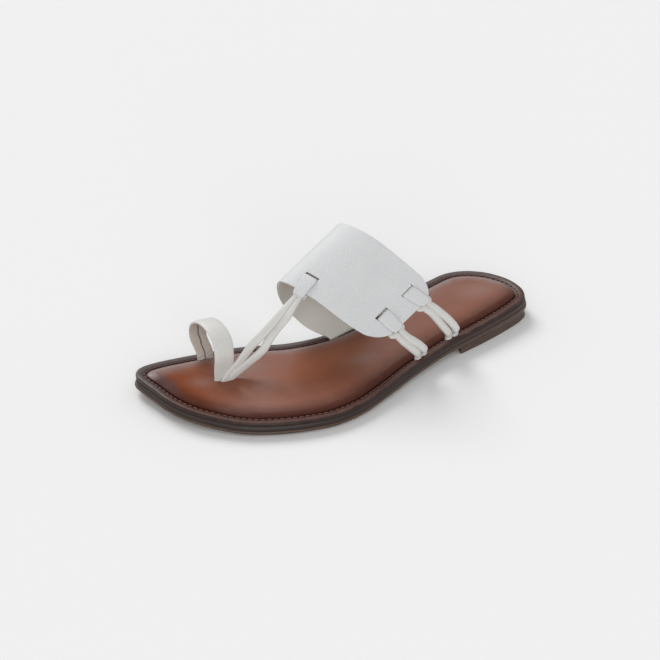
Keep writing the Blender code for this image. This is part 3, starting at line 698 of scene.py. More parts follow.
def white_leather(name, light, dark, cells, strength, depth, roughness=0.5, seam=None):
    """Pale leather. seam names the mark that holds the distance from a dark seam."""
    made, tree, shader, place = new_material(name, roughness, coat=0.08, coat_roughness=0.45)
    colour = blend_colour(tree, tone_drift(tree, place, 60.0, 1.0), srgb(*dark), srgb(*light))
    grain = leather_grain(tree, place, cells, 0.35)
    colour = tint(tree, colour, srgb(150, 150, 148), minus(tree, 1.0, grain, clamp=True), 0.22)
    if seam:
        away = math_node(tree, "ABSOLUTE", mark(tree, seam))
        colour = tint(tree, colour, srgb(70, 60, 55), ramp(tree, away, 0.00055, 0.00025), 0.8)
    paint(tree, shader, colour, grain, strength, depth)
    return made


def fibrous(name, light, dark, cells=700.0, roughness=0.75, specular=0.3):
    """The raw edge of a strap, or thread: matt, with fibres."""
    made, tree, shader, place = new_material(name, roughness, specular=specular)
    tone = tone_drift(tree, place, cells, 1.5)
    paint(tree, shader, blend_colour(tree, tone, srgb(*dark), srgb(*light)), tone, 0.5, 0.0002)
    return made


def floor_finish():
    made, tree, shader, place = new_material("studio_floor", 0.9, specular=0.1)
    colour = blend_colour(tree, tone_drift(tree, place, 3.0, 0.02), FLOOR_DARK, FLOOR_LIGHT)
    tree.links.new(colour, shader.inputs["Base Color"])
    return made


def distance_to_outline(points, inset):
    """How far each point is from the outline moved in by inset."""
    curve = inset_curve(inset)[::4]
    found = []
    for chunk in np.array_split(points, max(1, len(points) // 2000)):
        found.append(np.linalg.norm(chunk[:, None] - curve[None], axis=2).min(axis=1))
    return np.concatenate(found)


def heel_swell(ring):
    """How far the lower layers stand out past the rim round the back of the heel."""
    share = ring[:, 0] / SHOE_LENGTH + MIDDLE
    return HEEL_SWELL * smooth((HEEL_SWELL_FROM - share) / HEEL_SWELL_RUN)


def inner_spread(ring, inset):
    """How far a layer's wall stands out along the inner side. It fades towards the stitches."""
    fade = 1 - smooth(inset / INNER_SPREAD_REACH)
    return INNER_SPREAD * smooth(ways_round(ring)[:, 0]) * fade


def push_out(ring, amount):
    return ring - to_left(ways_round(ring)) * np.asarray(amount)[:, None]


def layer_body(name, profile, finish, fill=2, crown=None, marks_from="from_edge", swell=0.0):
    """A layer of the sole. Its top is filled by lines straight across with fill points on each.

    profile rows are the inset, a surface, the height over it and the mark, from the bottom up.
    """
    rings, marks = [], []
    for inset, surface, height, *edge in profile:
        flat = ring_of(inset)
        if inset < RIM_WIDTH:
            flat = push_out(flat, heel_swell(flat) * swell + inner_spread(flat, inset))
        heights = surface(flat[:, 0]) + height
        rings.append(np.column_stack([leaned(flat[:, 0], heights), flat[:, 1], heights]))
        marks.append(np.full(len(flat), edge[0] if edge else max(inset, 0)))
    count = len(rings[0])
    half = count // 2
    faces = ring_faces(len(rings), count)
    faces.append((count - 1, 1, 0))
    faces += [(count - i, count - i - 1, i + 1, i) for i in range(1, half - 1)]
    faces.append((half + 1, half, half - 1))
    points = np.vstack(rings)
    marks = np.concatenate(marks)
    first = (len(rings) - 1) * count
    top = rings[-1]
    share = 0.5 - 0.5 * np.cos(np.linspace(0, math.pi, fill))[1:-1]
    start = len(points)
    rows = [[first] * fill]
    inner = []
    for i in range(1, half):
        a, b = top[i], top[count - i]
        line = a + (b - a) * share[:, None]
        ids = [start + len(inner) + k for k in range(len(line))]
        inner += list(line)
        rows.append([first + i, *ids, first + count - i])
    rows.append([first + half] * fill)
    if inner:
        inner = np.array(inner)
        distance = distance_to_outline(inner[:, :2], profile[-1][0])
        if crown is not None:
            inner[:, 2] += crown(inner, distance)
        points = np.vstack([points, inner])
        marks = np.concatenate([marks, marks[-1] + distance])
    for low, high in zip(rows, rows[1:]):
        for k in range(fill - 1):
            face = list(dict.fromkeys([low[k], high[k], high[k + 1], low[k + 1]]))
            if len(face) > 2:
                faces.append(face)
    return add_piece(name, points, faces, [finish], marks={marks_from: marks})


def worn_under(front, heel):
    """Heights of the outsole's lower edge, which walking has rounded in front of the heel."""
    breast = x_at(HEEL_BREAST)
    return lambda x: sole_lift(x) + heel + (front - heel) * smooth((x - breast) / WEAR_RUN)


def dress_outsole(finish):
    profile = (
        # inset, surface, height over it, distance from the worn edge
        (0.0044, worn_under(0.0, 0.0), 0.0, 0.0),
        (0.0024, worn_under(0.0002, 0.0), 0.0, 0.0),
        (0.0010, worn_under(0.0006, 0.0), 0.0, 0.0),
        (0.0002, worn_under(0.0009, 0.0001), 0.0, 0.0),
        (-0.0001, worn_under(0.0013, 0.0006), 0.0, 0.0005),
        (-0.0001, outsole_top, -0.0008, 0.0012),
        (0.0000, outsole_top, -0.0003, 0.0015),
        (0.0003, outsole_top, 0.0, 0.002),
    )
    made = layer_body("outsole_edge", profile, finish, swell=1.0)
    return dress(made, "sole_leather", "outsole")


def dress_midsole(finish):
    profile = (
        # inset, surface, height over it, distance from the worn edge
        (0.0010, outsole_top, 0.0, 0.002),
        (0.0005, outsole_top, 0.0001, 0.002),
        (0.0003, outsole_top, 0.0006, 0.002),
        (0.0003, midsole_top, -0.0010, 0.002),
        (0.0006, midsole_top, -0.0004, 0.002),
        (0.0012, midsole_top, 0.00025, 0.002),
    )
    made = layer_body("midsole_edge", profile, finish, swell=0.8)
    return dress(made, "rim_leather", "midsole")


def dress_rim(finish):
    profile = (
        # inset, surface, height over it
        (0.0012, board_bottom, 0.0),
        (0.0004, board_bottom, 0.0),
        (0.0001, board_bottom, 0.0003),
        (-0.0001, board_bottom, 0.0009),
        (-0.0001, rim_top, -0.0010),
        (0.0001, rim_top, -0.0004),
        (0.0004, rim_top, -0.0001),
        (0.0009, rim_top, 0.0),
        (0.0024, rim_top, 0.0),
        (0.0033, rim_top, -0.0001),
        (0.0037, rim_top, -0.0004),
        (0.0040, rim_top, -STITCH_CHANNEL),
        (0.0046, rim_top, -STITCH_CHANNEL),
        (0.0050, rim_top, -0.0007),
        (0.0056, rim_top, -BED_DEPTH),
        (0.0075, rim_top, -BED_DEPTH),
    )
    made = layer_body("stitched_rim", profile, finish, marks_from="inset")
    return dress(made, "rim_leather", "insole_board")


def footbed_crown(points, distance):
    """How high the padding stands inside its edge. The toe loop's near leg pulls it down."""
    leg = np.array([x_at(LOOP_ALONG), LOOP_NEAR_ACROSS * BALL_WIDTH]) + PULL_SHIFT
    far = np.linalg.norm(points[:, :2] - leg, axis=1)
    return CROWN_RISE * smooth(distance / CROWN_REACH) - PULL_DEPTH * smooth(1 - far / PULL_REACH)


def dress_footbed(finish):
    profile = (
        # inset from the rim, surface, height over it, distance from the edge
        (0.0005, rim_top, -0.0009, 0.0),
        (0.0001, rim_top, -0.0007, 0.0),
        (0.0001, rim_top, -0.0004, 0.0003),
        (0.0003, rim_top, -0.0001, 0.0006),
        (0.0009, rim_top, 0.00015, 0.0011),
        (0.0017, rim_top, 0.00045, 0.0019),
        (0.0026, rim_top, 0.00075, 0.0028),
        (0.0036, rim_top, 0.0010, 0.0038),
        (0.0047, rim_top, 0.0012, 0.0049),
    )
    profile = [(RIM_WIDTH + inset, *rest) for inset, *rest in profile]
    made = layer_body("footbed_sock", profile, finish, ACROSS_FOOTBED, footbed_crown)
    return dress(made, "footbed_leather", "footbed")


def dress_heel(finish):
    """The heel lift: a wall that leans in a little to the floor, with a hollowed breast."""
    inner, outer = sides_of(OUTLINE_POINTS)
    breast = x_at(HEEL_BREAST)
    behind = [side[side[:, 0] < breast] for side in (inner, outer)]
    ends = np.array([[breast, across_at(inner, breast)], [breast, across_at(outer, breast)]])
    curve = np.vstack([ends[0], behind[0][::-HEEL_STRIDE], behind[1][::HEEL_STRIDE], ends[1]])
    across = np.linspace(0, 1, BREAST_STEPS)[1:-1]
    hollow = BREAST_CURVE * (1 - (2 * across - 1) ** 2)
    front = ends[1] + (ends[0] - ends[1]) * across[:, None] - np.stack([hollow, 0 * hollow], axis=1)
    ring = np.vstack([curve, front])
    wall = np.concatenate([np.ones(len(curve)), np.zeros(len(front))])
    levels = (
        # share of the height, how far out, distance from the worn edge
        (0.0, -0.0007, 0.0),
        (0.08, -0.0003, 0.0004),
        (0.25, -0.0001, 0.001),
        (0.6, 0.0001, 0.002),
        (0.93, 0.0001, 0.002),
        (1.0, 0.0000, 0.002),
    )
    rings, marks = [], []
    for share, out, edge in levels:
        flat = push_out(ring, (heel_swell(ring) * smooth(share / 0.9) + out) * wall)
        under = sole_lift(flat[:, 0])
        rings.append(np.column_stack([leaned(flat[:, 0], under), flat[:, 1], under * share]))
        marks.append(np.full(len(flat), edge))
    faces = ring_faces(len(rings), len(ring)) + end_faces(len(rings), len(ring))
    marks = {"from_edge": np.concatenate(marks)}
    made = add_piece("heel_block", np.vstack(rings), faces, [finish], marks=marks)
    return dress(face_outwards(made), "heel_leather", "heel_lift")


def side_cord_roots(along):
    _, outer = sides_of(inset_curve(SIDE_CORD_INSET))
    x = x_at(along)
    step = SIDE_CORD_WIDTH / 2
    edge = unit(np.array([2 * step, across_at(outer, x + step) - across_at(outer, x - step)]))
    middle = np.array([x, across_at(outer, x)])
    spread = edge * (SIDE_CORD_WIDTH / 2 + GAP)
    return (middle + spread, middle - spread), np.array([-edge[1], edge[0], 0])


def front_cord_roots():
    x = x_at(LOOP_ALONG)
    y = LOOP_NEAR_ACROSS * BALL_WIDTH + LOOP_THICKNESS / 2 + FRONT_ROOT_THICKNESS / 2
    spread = FRONT_ROOT_SPREAD / 2
    middle = x - LOOP_WIDTH * ROOT_SHIFT
    return (np.array([middle + spread, y]), np.array([middle - spread, y])), np.array([0, 1.0, 0])


def capsule(length, radius, rings=7, sides=8):
    """A short thread that lies along x, as points and faces."""
    turn = np.linspace(0, math.pi, rings)
    x = -np.cos(turn) * length / 2
    r = radius * np.sin(turn) ** 0.5
    around = np.arange(sides) * 2 * math.pi / sides
    points = [(a, b * math.cos(t), b * math.sin(t)) for a, b in zip(x, r) for t in around]
    return np.array(points), ring_faces(rings, sides)


def stitch_row(finish):
    """The threads of the rim, each a little askew, except where straps or cords go in."""
    curve = inset_curve(STITCH_INSET)
    curve = np.vstack([curve, curve[:1]])
    run = run_along(curve)
    count = int(run[-1] / STITCH_PITCH)
    shape, shape_faces = capsule(STITCH_LENGTH, STITCH_RADIUS)
    cords = [spot for along in SIDE_CORDS_ALONG.values() for spot in side_cord_roots(along)[0]]
    band_root = [band_at(0, v)[:2] for v in np.linspace(0, 1, 40)]
    step = 0.0005
    points, faces = [], []
    rng = np.random.default_rng(5)
    for k in range(count):
        at = (k + 0.5) / count * run[-1]
        spot, ahead = [
            np.array([np.interp(at + d, run, curve[:, 0]), np.interp(at + d, run, curve[:, 1])])
            for d in (0, step)
        ]
        turn, tilt = rng.normal(0, STITCH_TURN), rng.normal(0, STITCH_TILT)
        if min(np.linalg.norm(spot - c) for c in cords) < SIDE_CORD_WIDTH * STITCHLESS_ROUND_CORD:
            continue
        if min(np.linalg.norm(spot - c) for c in band_root) < STITCH_PITCH * STITCHLESS_ROUND_BAND:
            continue
        along = unit(ahead - spot)
        along = along + to_left(along) * turn
        side = to_left(along)
        low = rim_top(spot[0]) - STITCH_CHANNEL + STITCH_RADIUS * STITCH_LIFT + tilt
        slope = (rim_top(ahead[0]) - rim_top(spot[0])) / step
        start = len(points)
        for x, y, z in shape:
            flat = spot + along * x + side * y
            points.append((leaned(flat[0], low), flat[1], low + slope * x + z * STITCH_FLATNESS))
        faces += [tuple(start + i for i in face) for face in shape_faces]
    made = add_piece("rim_stitching", points, faces, [finish])
    return dress(face_outwards(made), "rim_leather")


def rounded_edge(w, power, root):
    """A strap's thickness across its width, as a share: full in the middle, 0 at both edges."""
    return (1 - np.abs(w) ** power) ** (1 / root)


def rounded_section(half_width, half_thickness, power, sides):
    turn = np.arange(sides) * 2 * math.pi / sides + math.pi / sides
    c, s = np.cos(turn), np.sin(turn)
    a = np.sign(c) * np.abs(c) ** (2 / power) * half_width
    b = np.sign(s) * np.abs(s) ** (2 / power) * half_thickness
    return np.stack([a, b], axis=1)


def sweep(path, normals, widths, thicknesses, power, sides=CORD_SIDES):
    """Points and faces of a closed body with a rounded section along a path."""
    points = []
    for p, t, n, w, h in zip(path, unit(np.gradient(path, axis=0)), normals, widths, thicknesses):
        n = unit(n - t * (n @ t))
        side = np.cross(t, n)
        points += [p + side * a + n * b for a, b in rounded_section(w / 2, h / 2, power, sides)]
    return points, ring_faces(len(path), sides) + end_faces(len(path), sides)


def band_rows():
    seat = RIM_WIDTH - BAND_THICKNESS / 2 - GAP
    inner, _ = sides_of(inset_curve(seat))
    front, back = [], []
    for edge, along in ((front, BAND_ROOT_FRONT), (back, BAND_ROOT_BACK)):
        x = x_at(along)
        spot = np.array([x, across_at(inner, x)])
        edge.append(np.array([*spot, strap_foot(x)]))
        edge.append(above_rim(spot, 0))
    for _, along_f, across_f, height_f, along_b, across_b, height_b in BAND:
        front.append(above_rim(plan(along_f, across_f), height_f * INSTEP_RISE))
        back.append(above_rim(plan(along_b, across_b), height_b * INSTEP_RISE))
    return front, back


BAND_EDGES = [catmull_rom(edge, BAND_SPAN_STEPS) for edge in band_rows()]
BAND_PLACES = np.arange(len(BAND_EDGES[0]))
BAND_SMOOTHING = 0.012


def band_at(u, v):
    """The middle of the band's wall: u from root to end, v from its front to its back edge."""
    u, v = np.broadcast_arrays(np.asarray(u, float), np.asarray(v, float))
    place = u * BAND_PLACES[-1]
    front, back = [
        np.stack([np.interp(place, BAND_PLACES, edge[:, k]) for k in range(3)], axis=-1)
        for edge in BAND_EDGES
    ]
    return front + (back - front) * v[..., None]


def band_frame(u, v):
    """The directions along the band, across it and out of it."""
    after = band_at(np.minimum(u + BAND_SMOOTHING, 1), v)
    before = band_at(np.maximum(u - BAND_SMOOTHING, 0), v)
    along = unit(after - before)
    across = unit(band_at(u, 1) - band_at(u, 0))
    across = np.broadcast_to(across, along.shape)
    return along, across, unit(np.cross(along, across))


BAND_END_WIDTH = float(np.linalg.norm(band_at(1, 1) - band_at(1, 0)))
BAND_LENGTH = float(run_along(BAND_EDGES[0])[-1])


class Margin:
    """Places near an edge of the band: s in from the edge, w along it and d out of the wall."""

    def __init__(self, u, v, over_front, skew, reach):
        self.u, self.v, self.over_front, self.skew, self.reach = u, v, over_front, skew, reach
        self.eye_s = -(CORD_IN_EYE / 2 + 2 * GAP) if over_front else SIDE_EYE_UNDER
        self.eye_d = -BAND_THICKNESS / 2
        if not over_front:
            self.eye_d -= GAP + CORD_IN_EYE / 2
        self.width = float(np.linalg.norm(band_at(u, 1) - band_at(u, 0)))
        step = 0.01
        self.speed = float(np.linalg.norm(band_at(u, v) - band_at(u - step, v)) / step)

    def place(self, s, w, d):
        s, w, d = (np.asarray(k, float) for k in (s, w, d))
        w = w + self.skew * (self.reach - s)
        if self.over_front:
            u = self.u + w / self.speed
            _, across, out = band_frame(u, self.v)
            return band_at(u, self.v) + across * s[..., None] + out * d[..., None]
        v = self.v + w / self.width
        u = self.u - np.maximum(s, 0) / self.speed
        along, _, out = band_frame(u, v)
        return band_at(u, v) - along * np.minimum(s, 0)[..., None] + out * d[..., None]

    def out(self):
        return band_frame(self.u, self.v)[2]


MARGINS = {"front": Margin(FRONT_TAB_ALONG, 0, True, FRONT_TAB_SKEW, FRONT_TAB_REACH)}
for end, reach in SIDE_TABS_REACH.items():
    MARGINS["side_" + end] = Margin(1, SIDE_TABS_ACROSS[end], False, SIDE_TABS_SKEW[end], reach)


def corner_reach(v):
    """How far the band's end is cut back at v to round its corners."""
    short = BAND_CORNER - np.minimum(np.minimum(v, 1 - v) * BAND_END_WIDTH, BAND_CORNER)
    return 1 - (BAND_CORNER - np.sqrt(BAND_CORNER**2 - short**2)) / BAND_LENGTH


# Each slit: the margin, and how far it opens before and behind its tab
SLIT_OPENS = {
    "front": (0.0008, 0.0018),
    "side_front": (0.0008, 0.0019),
    "side_rear": (0.0008, 0.0015),
}


def slit_boxes():
    """Each slit as a range of u and a range of v."""
    boxes = []
    for name, margin in MARGINS.items():
        before, behind = SLIT_OPENS[name]
        near, far = margin.reach - before, margin.reach + behind
        half = TAB_WIDTH / 2 + GAP
        if margin.over_front:
            us = (margin.u - half / margin.speed, margin.u + half / margin.speed)
            boxes.append((us, (near / margin.width, far / margin.width)))
        else:
            vs = (margin.v - half / margin.width, margin.v + half / margin.width)
            boxes.append(((margin.u - far / margin.speed, margin.u - near / margin.speed), vs))
    return boxes


def with_lines(values, extra, least):
    """Grid lines that include the extra ones, without others close to them."""
    kept = [v for v in values if all(abs(v - e) > least for e in extra)]
    return np.array(sorted(kept + list(extra)))


def dress_band(top_finish, under_finish, edge_finish, slit_shade_finish):
    """The band as a sheet with rolled edges and three slits."""
    boxes = slit_boxes()
    roll = EDGE_ROLL * (1 - np.cos(np.linspace(0, math.pi / 2, 5)))
    ends = roll / BAND_LENGTH
    sides = roll / BAND_END_WIDTH
    us = np.concatenate([np.linspace(0, 1 - ends[-1], BAND_STATIONS)[:-1], 1 - ends[::-1]])
    us = with_lines(us, [u for box in boxes for u in box[0]], 0.3 / BAND_STATIONS)
    across = np.linspace(sides[-1], 1 - sides[-1], BAND_ACROSS)[1:-1]
    vs = np.concatenate([sides, across, 1 - sides[::-1]])
    vs = with_lines(vs, [v for box in boxes for v in box[1]], 0.25 / BAND_ACROSS)
    u, v = np.meshgrid(us, vs, indexing="ij")
    cut = 1 - (1 - corner_reach(v)) * smooth((u - (1 - CORNER_RUN)) / CORNER_RUN)
    place = np.minimum(u * cut, 1)
    from_end = (1 - u) * BAND_LENGTH
    from_side = np.minimum(v, 1 - v) * BAND_END_WIDTH
    from_edge = np.minimum(from_end, from_side)
    short = np.maximum(EDGE_ROLL - from_edge, 0)
    half = BAND_THICKNESS / 2 - EDGE_ROLL + np.sqrt(EDGE_ROLL**2 - short**2)
    middle, out = band_at(place, v), band_frame(place, v)[2]
    sheets = [middle + out * half[..., None], middle - out * half[..., None]]
    rows, columns = u.shape
    under = rows * columns
    solid = np.ones((rows - 1, columns - 1), bool)
    mid_u, mid_v = (us[1:] + us[:-1]) / 2, (vs[1:] + vs[:-1]) / 2
    for (u0, u1), (v0, v1) in boxes:
        rows_in = (mid_u > u0) & (mid_u < u1)
        solid[np.ix_(rows_in, (mid_v > v0) & (mid_v < v1))] = False
    faces, finishes = [], []

    def index(r, c, below):
        return r * columns + c + (under if below else 0)

    padded = np.pad(solid, 1)
    for r in range(rows - 1):
        for c in range(columns - 1):
            if not solid[r, c]:
                continue
            corners = [(r, c), (r, c + 1), (r + 1, c + 1), (r + 1, c)]
            faces.append([index(*k, False) for k in corners])
            faces.append([index(*k, True) for k in corners[::-1]])
            finishes += [0, 1]
            for dr, dc, i, j in ((0, -1, 3, 0), (1, 0, 2, 3), (0, 1, 1, 2), (-1, 0, 0, 1)):
                if padded[r + 1 + dr, c + 1 + dc]:
                    continue
                a, b = corners[i], corners[j]
                faces.append([index(*b, False), index(*a, False), index(*a, True), index(*b, True)])
                inside = 0 <= r + dr < rows - 1 and 0 <= c + dc < columns - 1
                # walls inside the slits take the darker finish, painted shade
                finishes.append(3 if inside else 2)
    points = np.vstack([sheet.reshape(-1, 3) for sheet in sheets])
    used = np.unique([i for face in faces for i in face])
    new_index = np.full(len(points), -1)
    new_index[used] = np.arange(len(used))
    faces = [[int(new_index[i]) for i in face] for face in faces]
    finish = [top_finish, under_finish, edge_finish, slit_shade_finish]
    made = add_piece("instep_band_leather", points[used], faces, finish, finishes, sharp=60)
    return dress(face_outwards(made), "white_leather", "instep_band")


EYE_RADIUS = CORD_IN_EYE / 2 + GAP / 2 + TAB_THICKNESS / 2
FRONT_TURNS = (15, 50, 90, 130, 165)
SIDE_TURNS = (62, 95, 130, 165, 200)
TAB_TOP = (
    # over the band, from its slit on: share of the reach, then how far off and how high, in legs
    (1.0, -0.15, 0.75),
    (1.0, -0.75, 1.0),
    (0.45, 0.0, 1.0),
    (0.12, 0.0, 1.0),
)


def tab_route(margin):
    """The tab's closed way round the band's margin, as pairs of s and d, slit first."""
    leg = BAND_THICKNESS / 2 + GAP / 2 + TAB_THICKNESS / 2
    top = [(margin.reach * share + leg * off, leg * high) for share, off, high in TAB_TOP]
    route = [(margin.reach, 0)] + top
    if not margin.over_front:
        route += [(GAP, leg * 0.97), (-TAB_THICKNESS / 2, BAND_THICKNESS * 0.55)]
    for turn in np.radians(FRONT_TURNS if margin.over_front else SIDE_TURNS):
        s = margin.eye_s - EYE_RADIUS * math.sin(turn)
        route.append((s, margin.eye_d + EYE_RADIUS * math.cos(turn)))
    low = top if margin.over_front else top[:-1]
    route += [(s, -d) for s, d in low[::-1]]
    return catmull_rom(route, TAB_STEPS, closed=True)


def tab_widths(margin, route):
    """Half the tab's width at each place of its route."""
    s = route[:, 0]
    if margin.over_front:
        wide = FRONT_TAB_WAIST
        wide = wide + (TAB_WIDTH - wide) * smooth((s + FRONT_TAB_WAIST_END) / margin.reach)
    else:
        wide = SIDE_EYE_WIDTH
        wide = wide + (TAB_WIDTH - wide) * np.clip(s / (margin.reach * SIDE_TAB_TAPER), 0, 1)
    knuckle = smooth((s.min() + KNUCKLE_RUN - s) / KNUCKLE_RUN)
    return (wide - KNUCKLE_PINCH * knuckle) / 2


def dress_tab(name, margin, finish):
    route = tab_route(margin)
    side = to_left(ways_round(route)) * TAB_THICKNESS / 2
    w = np.sin(np.linspace(-math.pi / 2, math.pi / 2, TAB_ACROSS))
    thin = rounded_edge(w, 7, 3.0)
    rings = []
    for (s, d), (off_s, off_d), half in zip(route, side, tab_widths(margin, route)):
        outer = margin.place(s + off_s * thin, w * half, d + off_d * thin)
        inner = margin.place(s - off_s * thin, w * half, d - off_d * thin)
        rings.append(np.vstack([outer, inner[-2:0:-1]]))
    faces = ring_faces(len(rings), len(rings[0]), closed=True)
    made = add_piece(name + "_leather", np.vstack(rings), faces, [finish], sharp=70)
    return dress(face_outwards(made), "white_leather", name)


# Half of a cord's turn through its eye, from the middle out
SIDE_BIGHT = (
    # down from the eye, across, width of the strand, its thickness
    (0.0000, 0.0009, 0.0023, 0.0023),
    (0.0000, 0.0028, 0.0024, 0.0023),
    (0.0006, 0.0046, 0.0027, 0.0023),
    (0.0020, 0.0047, 0.0032, 0.0024),
    (0.0030, 0.0032, 0.0038, 0.0026),
    (0.0040, 0.0021, 0.0045, 0.0029),
    (0.0060, 0.0019, 0.0047, 0.0031),
    (0.0090, 0.0020, 0.0048, 0.0032),
)
FRONT_BIGHT = (
    # down from the eye, across, width of the strand, its thickness
    (0.0000, 0.0005, 0.0022, 0.0020),
    (0.0001, 0.0011, 0.0022, 0.0020),
    (0.0010, 0.0014, 0.0027, 0.0021),
    (0.0026, 0.00145, 0.0030, 0.0022),
    (0.0050, 0.0016, 0.0033, 0.0023),
    (0.0090, 0.00185, 0.0038, 0.0023),
    (0.0150, 0.0022, 0.0046, 0.0023),
)

# How the strands stray from straight lines: share of the way, then the shift as shares of it
FRONT_CORD_SWAY = {
    -1: ((0.30, (0, 0, 0.010)), (0.50, (0.012, 0, 0.022)), (0.76, (0.003, 0, 0.008))),
    1: (
        (0.30, (-0.006, 0, -0.020)),
        (0.48, (-0.024, 0.022, -0.042)),
        (0.76, (-0.010, 0.008, -0.020)),
    ),
}
SIDE_CORD_SWAY = {
    -1: ((0.48, (0.00, 0.06, 0.02)), (0.86, (0.00, 0.08, 0.03))),
    1: ((0.48, (-0.05, 0.11, 0.03)), (0.86, (-0.03, 0.13, 0.04))),
}

# Turn through the eye, sway, rise of the mouth, width, thickness and thickness at the root
FRONT_CORD = (
    FRONT_BIGHT,
    FRONT_CORD_SWAY,
    FRONT_STRAND_RISE,
    FRONT_STRAND_WIDTH,
    FRONT_CORD_THICKNESS,
    FRONT_ROOT_THICKNESS,
)
SIDE_CORD = (
    SIDE_BIGHT,
    SIDE_CORD_SWAY,
    SIDE_STRAND_RISE,
    SIDE_CORD_WIDTH,
    SIDE_CORD_THICKNESS,
    SIDE_CORD_THICKNESS,
)


def dress_cord(name, margin, roots, root_normal, finish):
    """One cord folded in two: up from the sole, through the tab's eye and down again."""
    bight, sway, rise, width, thickness, at_root = FRONT_CORD if margin.over_front else SIDE_CORD
    strands = []
    for side, root in zip((-1, 1), roots):
        strand = [
            (margin.place(margin.eye_s - down, side * across, margin.eye_d), wide, thick)
            for down, across, wide, thick in bight
        ]
        start = strand[-1][0]
        mouth = above_rim(root, rise)
        way = mouth - start
        length = np.linalg.norm(way)
        for share, push in sway[side]:
            strand.append((start + way * share + np.array(push) * length, width, thickness))
        anchor = np.array([*root, strap_foot(root[0])])
        strand += [(spot, width, at_root) for spot in (mouth, above_rim(root, 0), anchor)]
        strands.append(strand)
    spots, widths, thicknesses = zip(*(strands[0][::-1] + strands[1]))
    path = catmull_rom(spots, CORD_STEPS)
    place = np.linspace(0, len(spots) - 1, len(path))
    widths = np.interp(place, range(len(spots)), widths)
    thicknesses = np.interp(place, range(len(spots)), thicknesses)
    run = run_along(path)
    from_middle = np.abs(2 * run / run[-1] - 1)
    share = smooth((from_middle - CORD_TURN_FROM) / CORD_TURN_RUN)[:, None]
    normals = margin.out() * (1 - share) + np.asarray(root_normal) * share
    points, faces = sweep(path, normals, widths, thicknesses, CORD_POWER)
    made = add_piece(name + "_leather", points, faces, [finish])
    return dress(face_outwards(made), "white_leather", name)


def dress_loop(finish):
    """The toe loop: a folded strap whose two edges meet in a seam on its inner face."""
    x = x_at(LOOP_ALONG)
    inner, _ = sides_of(inset_curve(LOOP_SEAT))
    far = across_at(inner, x)
    near = LOOP_NEAR_ACROSS * BALL_WIDTH
    route = [(x, far, strap_foot(x)), (x, far, rim_top(x))]
    for _, span, rise, lean in LOOP:
        y = far + (near - far) * span
        route.append((x + lean * LOOP_WIDTH, y, rim_top(x) + rise * LOOP_RISE))
    route += [(x, near, rim_top(x)), (x, near, strap_foot(x))]
    path = catmull_rom(route, LOOP_STEPS)
    run = run_along(path)
    spread = LOOP_LEG_WIDTH + (LOOP_STRAP_WIDTH - LOOP_LEG_WIDTH) * smooth(
        run / run[-1] * LOOP_WIDENING
    )
    w = np.sin(np.linspace(-math.pi / 2, math.pi / 2, LOOP_ACROSS))
    half = LOOP_THICKNESS / 2 * rounded_edge(w, 6, 2.6)
    crown = LOOP_CROWN * (1 - w**2)
    rings, marks = [], []
    for p, t, r, wide in zip(path, unit(np.gradient(path, axis=0)), run, spread / 2):
        side = unit(np.array([1.0, 0, 0]) - t * t[0])
        out = np.cross(side, t)
        seam = w * wide - sum(sway * math.sin(r / length) for sway, length in SEAM_WAVES)
        pucker = PUCKER_DEPTH * np.sin(r / PUCKER_LENGTH + 3 * w)
        pucker = pucker * (1 - smooth((r - PUCKER_FROM) / PUCKER_FADE))
        groove = SEAM_DEPTH * np.exp(-((seam / SEAM_WIDTH) ** 2))
        middle = p + side * (w * wide)[:, None]
        top = middle + out * (half + crown)[:, None]
        low = middle - out * (half - groove + pucker)[:, None]
        rings.append(np.vstack([top, low[-2:0:-1]]))
        marks.append(np.concatenate([seam, seam[-2:0:-1]]))
    around = len(rings[0])
    faces = ring_faces(len(rings), around) + end_faces(len(rings), around)
    lining = [int(LOOP_ACROSS + 2 <= c < around - 3) for c in range(around)]
    finishes = lining * (len(rings) - 1) + [0, 0]
    marks = {"seam": np.concatenate(marks)}
    made = add_piece("toe_loop_leather", np.vstack(rings), faces, finish, finishes, marks, sharp=70)
    return dress(face_outwards(made), "white_leather", "toe_loop")


def add_stage():
    half = FLOOR_SIZE / 2
    corners = [(-half, -half, 0), (half, -half, 0), (half, half, 0), (-half, half, 0)]
    floor = add_piece("studio_floor", corners, [(0, 1, 2, 3)], [floor_finish()])
    world = bpy.data.worlds.new("studio")
    world.use_nodes = True
    background = world.node_tree.nodes["Background"]
    background.inputs["Color"].default_value = (1, 1, 1, 1)
    background.inputs["Strength"].default_value = WORLD_STRENGTH
    bpy.context.scene.world = world
    for name, strength, angle, towards in (
        ("key", KEY_STRENGTH, KEY_ANGLE, KEY_FROM),
        ("fill", FILL_STRENGTH, FILL_ANGLE, FILL_FROM),
    ):
        sun = bpy.data.lights.new(name, "SUN")
        sun.energy = strength
        sun.angle = math.radians(angle)
        lamp = bpy.data.objects.new(name, sun)
        lamp.rotation_euler = Vector(towards).to_track_quat("Z", "Y").to_euler()
        bpy.context.scene.collection.objects.link(lamp)


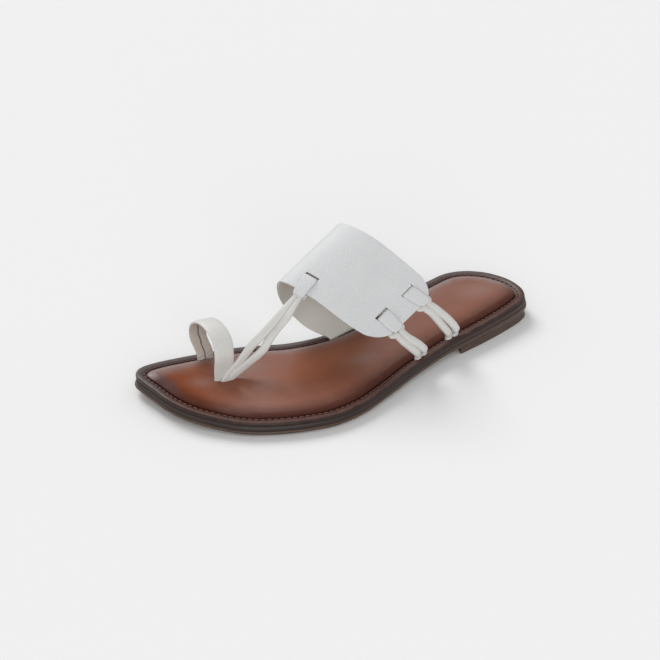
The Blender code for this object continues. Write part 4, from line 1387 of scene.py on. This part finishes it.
def add_camera():
    lens = bpy.data.cameras.new("photo_angle")
    lens.lens = CAMERA_LENS
    lens.sensor_width = CAMERA_SENSOR
    lens.clip_start = 0.01
    camera = bpy.data.objects.new("photo_angle", lens)
    camera.location = CAMERA_PLACE
    towards = Vector(CAMERA_TARGET) - Vector(CAMERA_PLACE)
    camera.rotation_euler = towards.to_track_quat("-Z", "Y").to_euler()
    bpy.context.scene.collection.objects.link(camera)
    bpy.context.scene.camera = camera


def main():
    bpy.context.scene.view_settings.view_transform = "Standard"
    add_camera()
    add_stage()
    white = white_leather("band_leather", (211, 212, 213), (201, 202, 203), 950.0, 0.45, 0.00016)
    lining = white_leather(
        "band_lining", (206, 203, 196), (192, 189, 181), 1500.0, 0.3, 0.00012, 0.7
    )
    cord = white_leather("cord_leather", (209, 208, 204), (198, 197, 192), 1500.0, 0.2, 0.0001)
    loop_lining = white_leather(
        "loop_lining", (205, 193, 184), (184, 172, 162), 900.0, 0.8, 0.0003, 0.8, "seam"
    )
    edge = fibrous("cut_edge", (168, 168, 165), (140, 140, 137))
    # Painted shade: the slit walls get a darker copy of the cut edge, for the shade inside the
    # slits.
    slit = fibrous("slit_edge_painted_shade", (128, 128, 126), (100, 100, 100))

    # The third colour of each sole layer is its lighter lower edge: wear and a painted highlight.
    dress_outsole(layer_leather("outsole_side", (62, 47, 40), (90, 72, 61), (122, 101, 85)))
    dress_midsole(
        layer_leather("midsole_side", (36, 26, 24), (58, 45, 42), (80, 66, 60), (58, 44, 39))
    )
    dress_rim(rim_leather())
    dress_footbed(footbed_leather())
    dress_heel(layer_leather("heel_side", (62, 47, 41), (86, 68, 59), (102, 84, 73)))
    stitch_row(fibrous("rim_stitching", (122, 66, 50), (62, 26, 20), 900.0, 0.55, 0.5))
    dress_band(white, lining, edge, slit)
    dress_tab("front_tab", MARGINS["front"], white)
    for end in SIDE_TABS_REACH:
        dress_tab("side_tab_" + end, MARGINS["side_" + end], white)
    dress_loop([cord, loop_lining])
    dress_cord("front_cord", MARGINS["front"], *front_cord_roots(), cord)
    for end, along in SIDE_CORDS_ALONG.items():
        dress_cord("side_cord_" + end, MARGINS["side_" + end], *side_cord_roots(along), cord)


main()
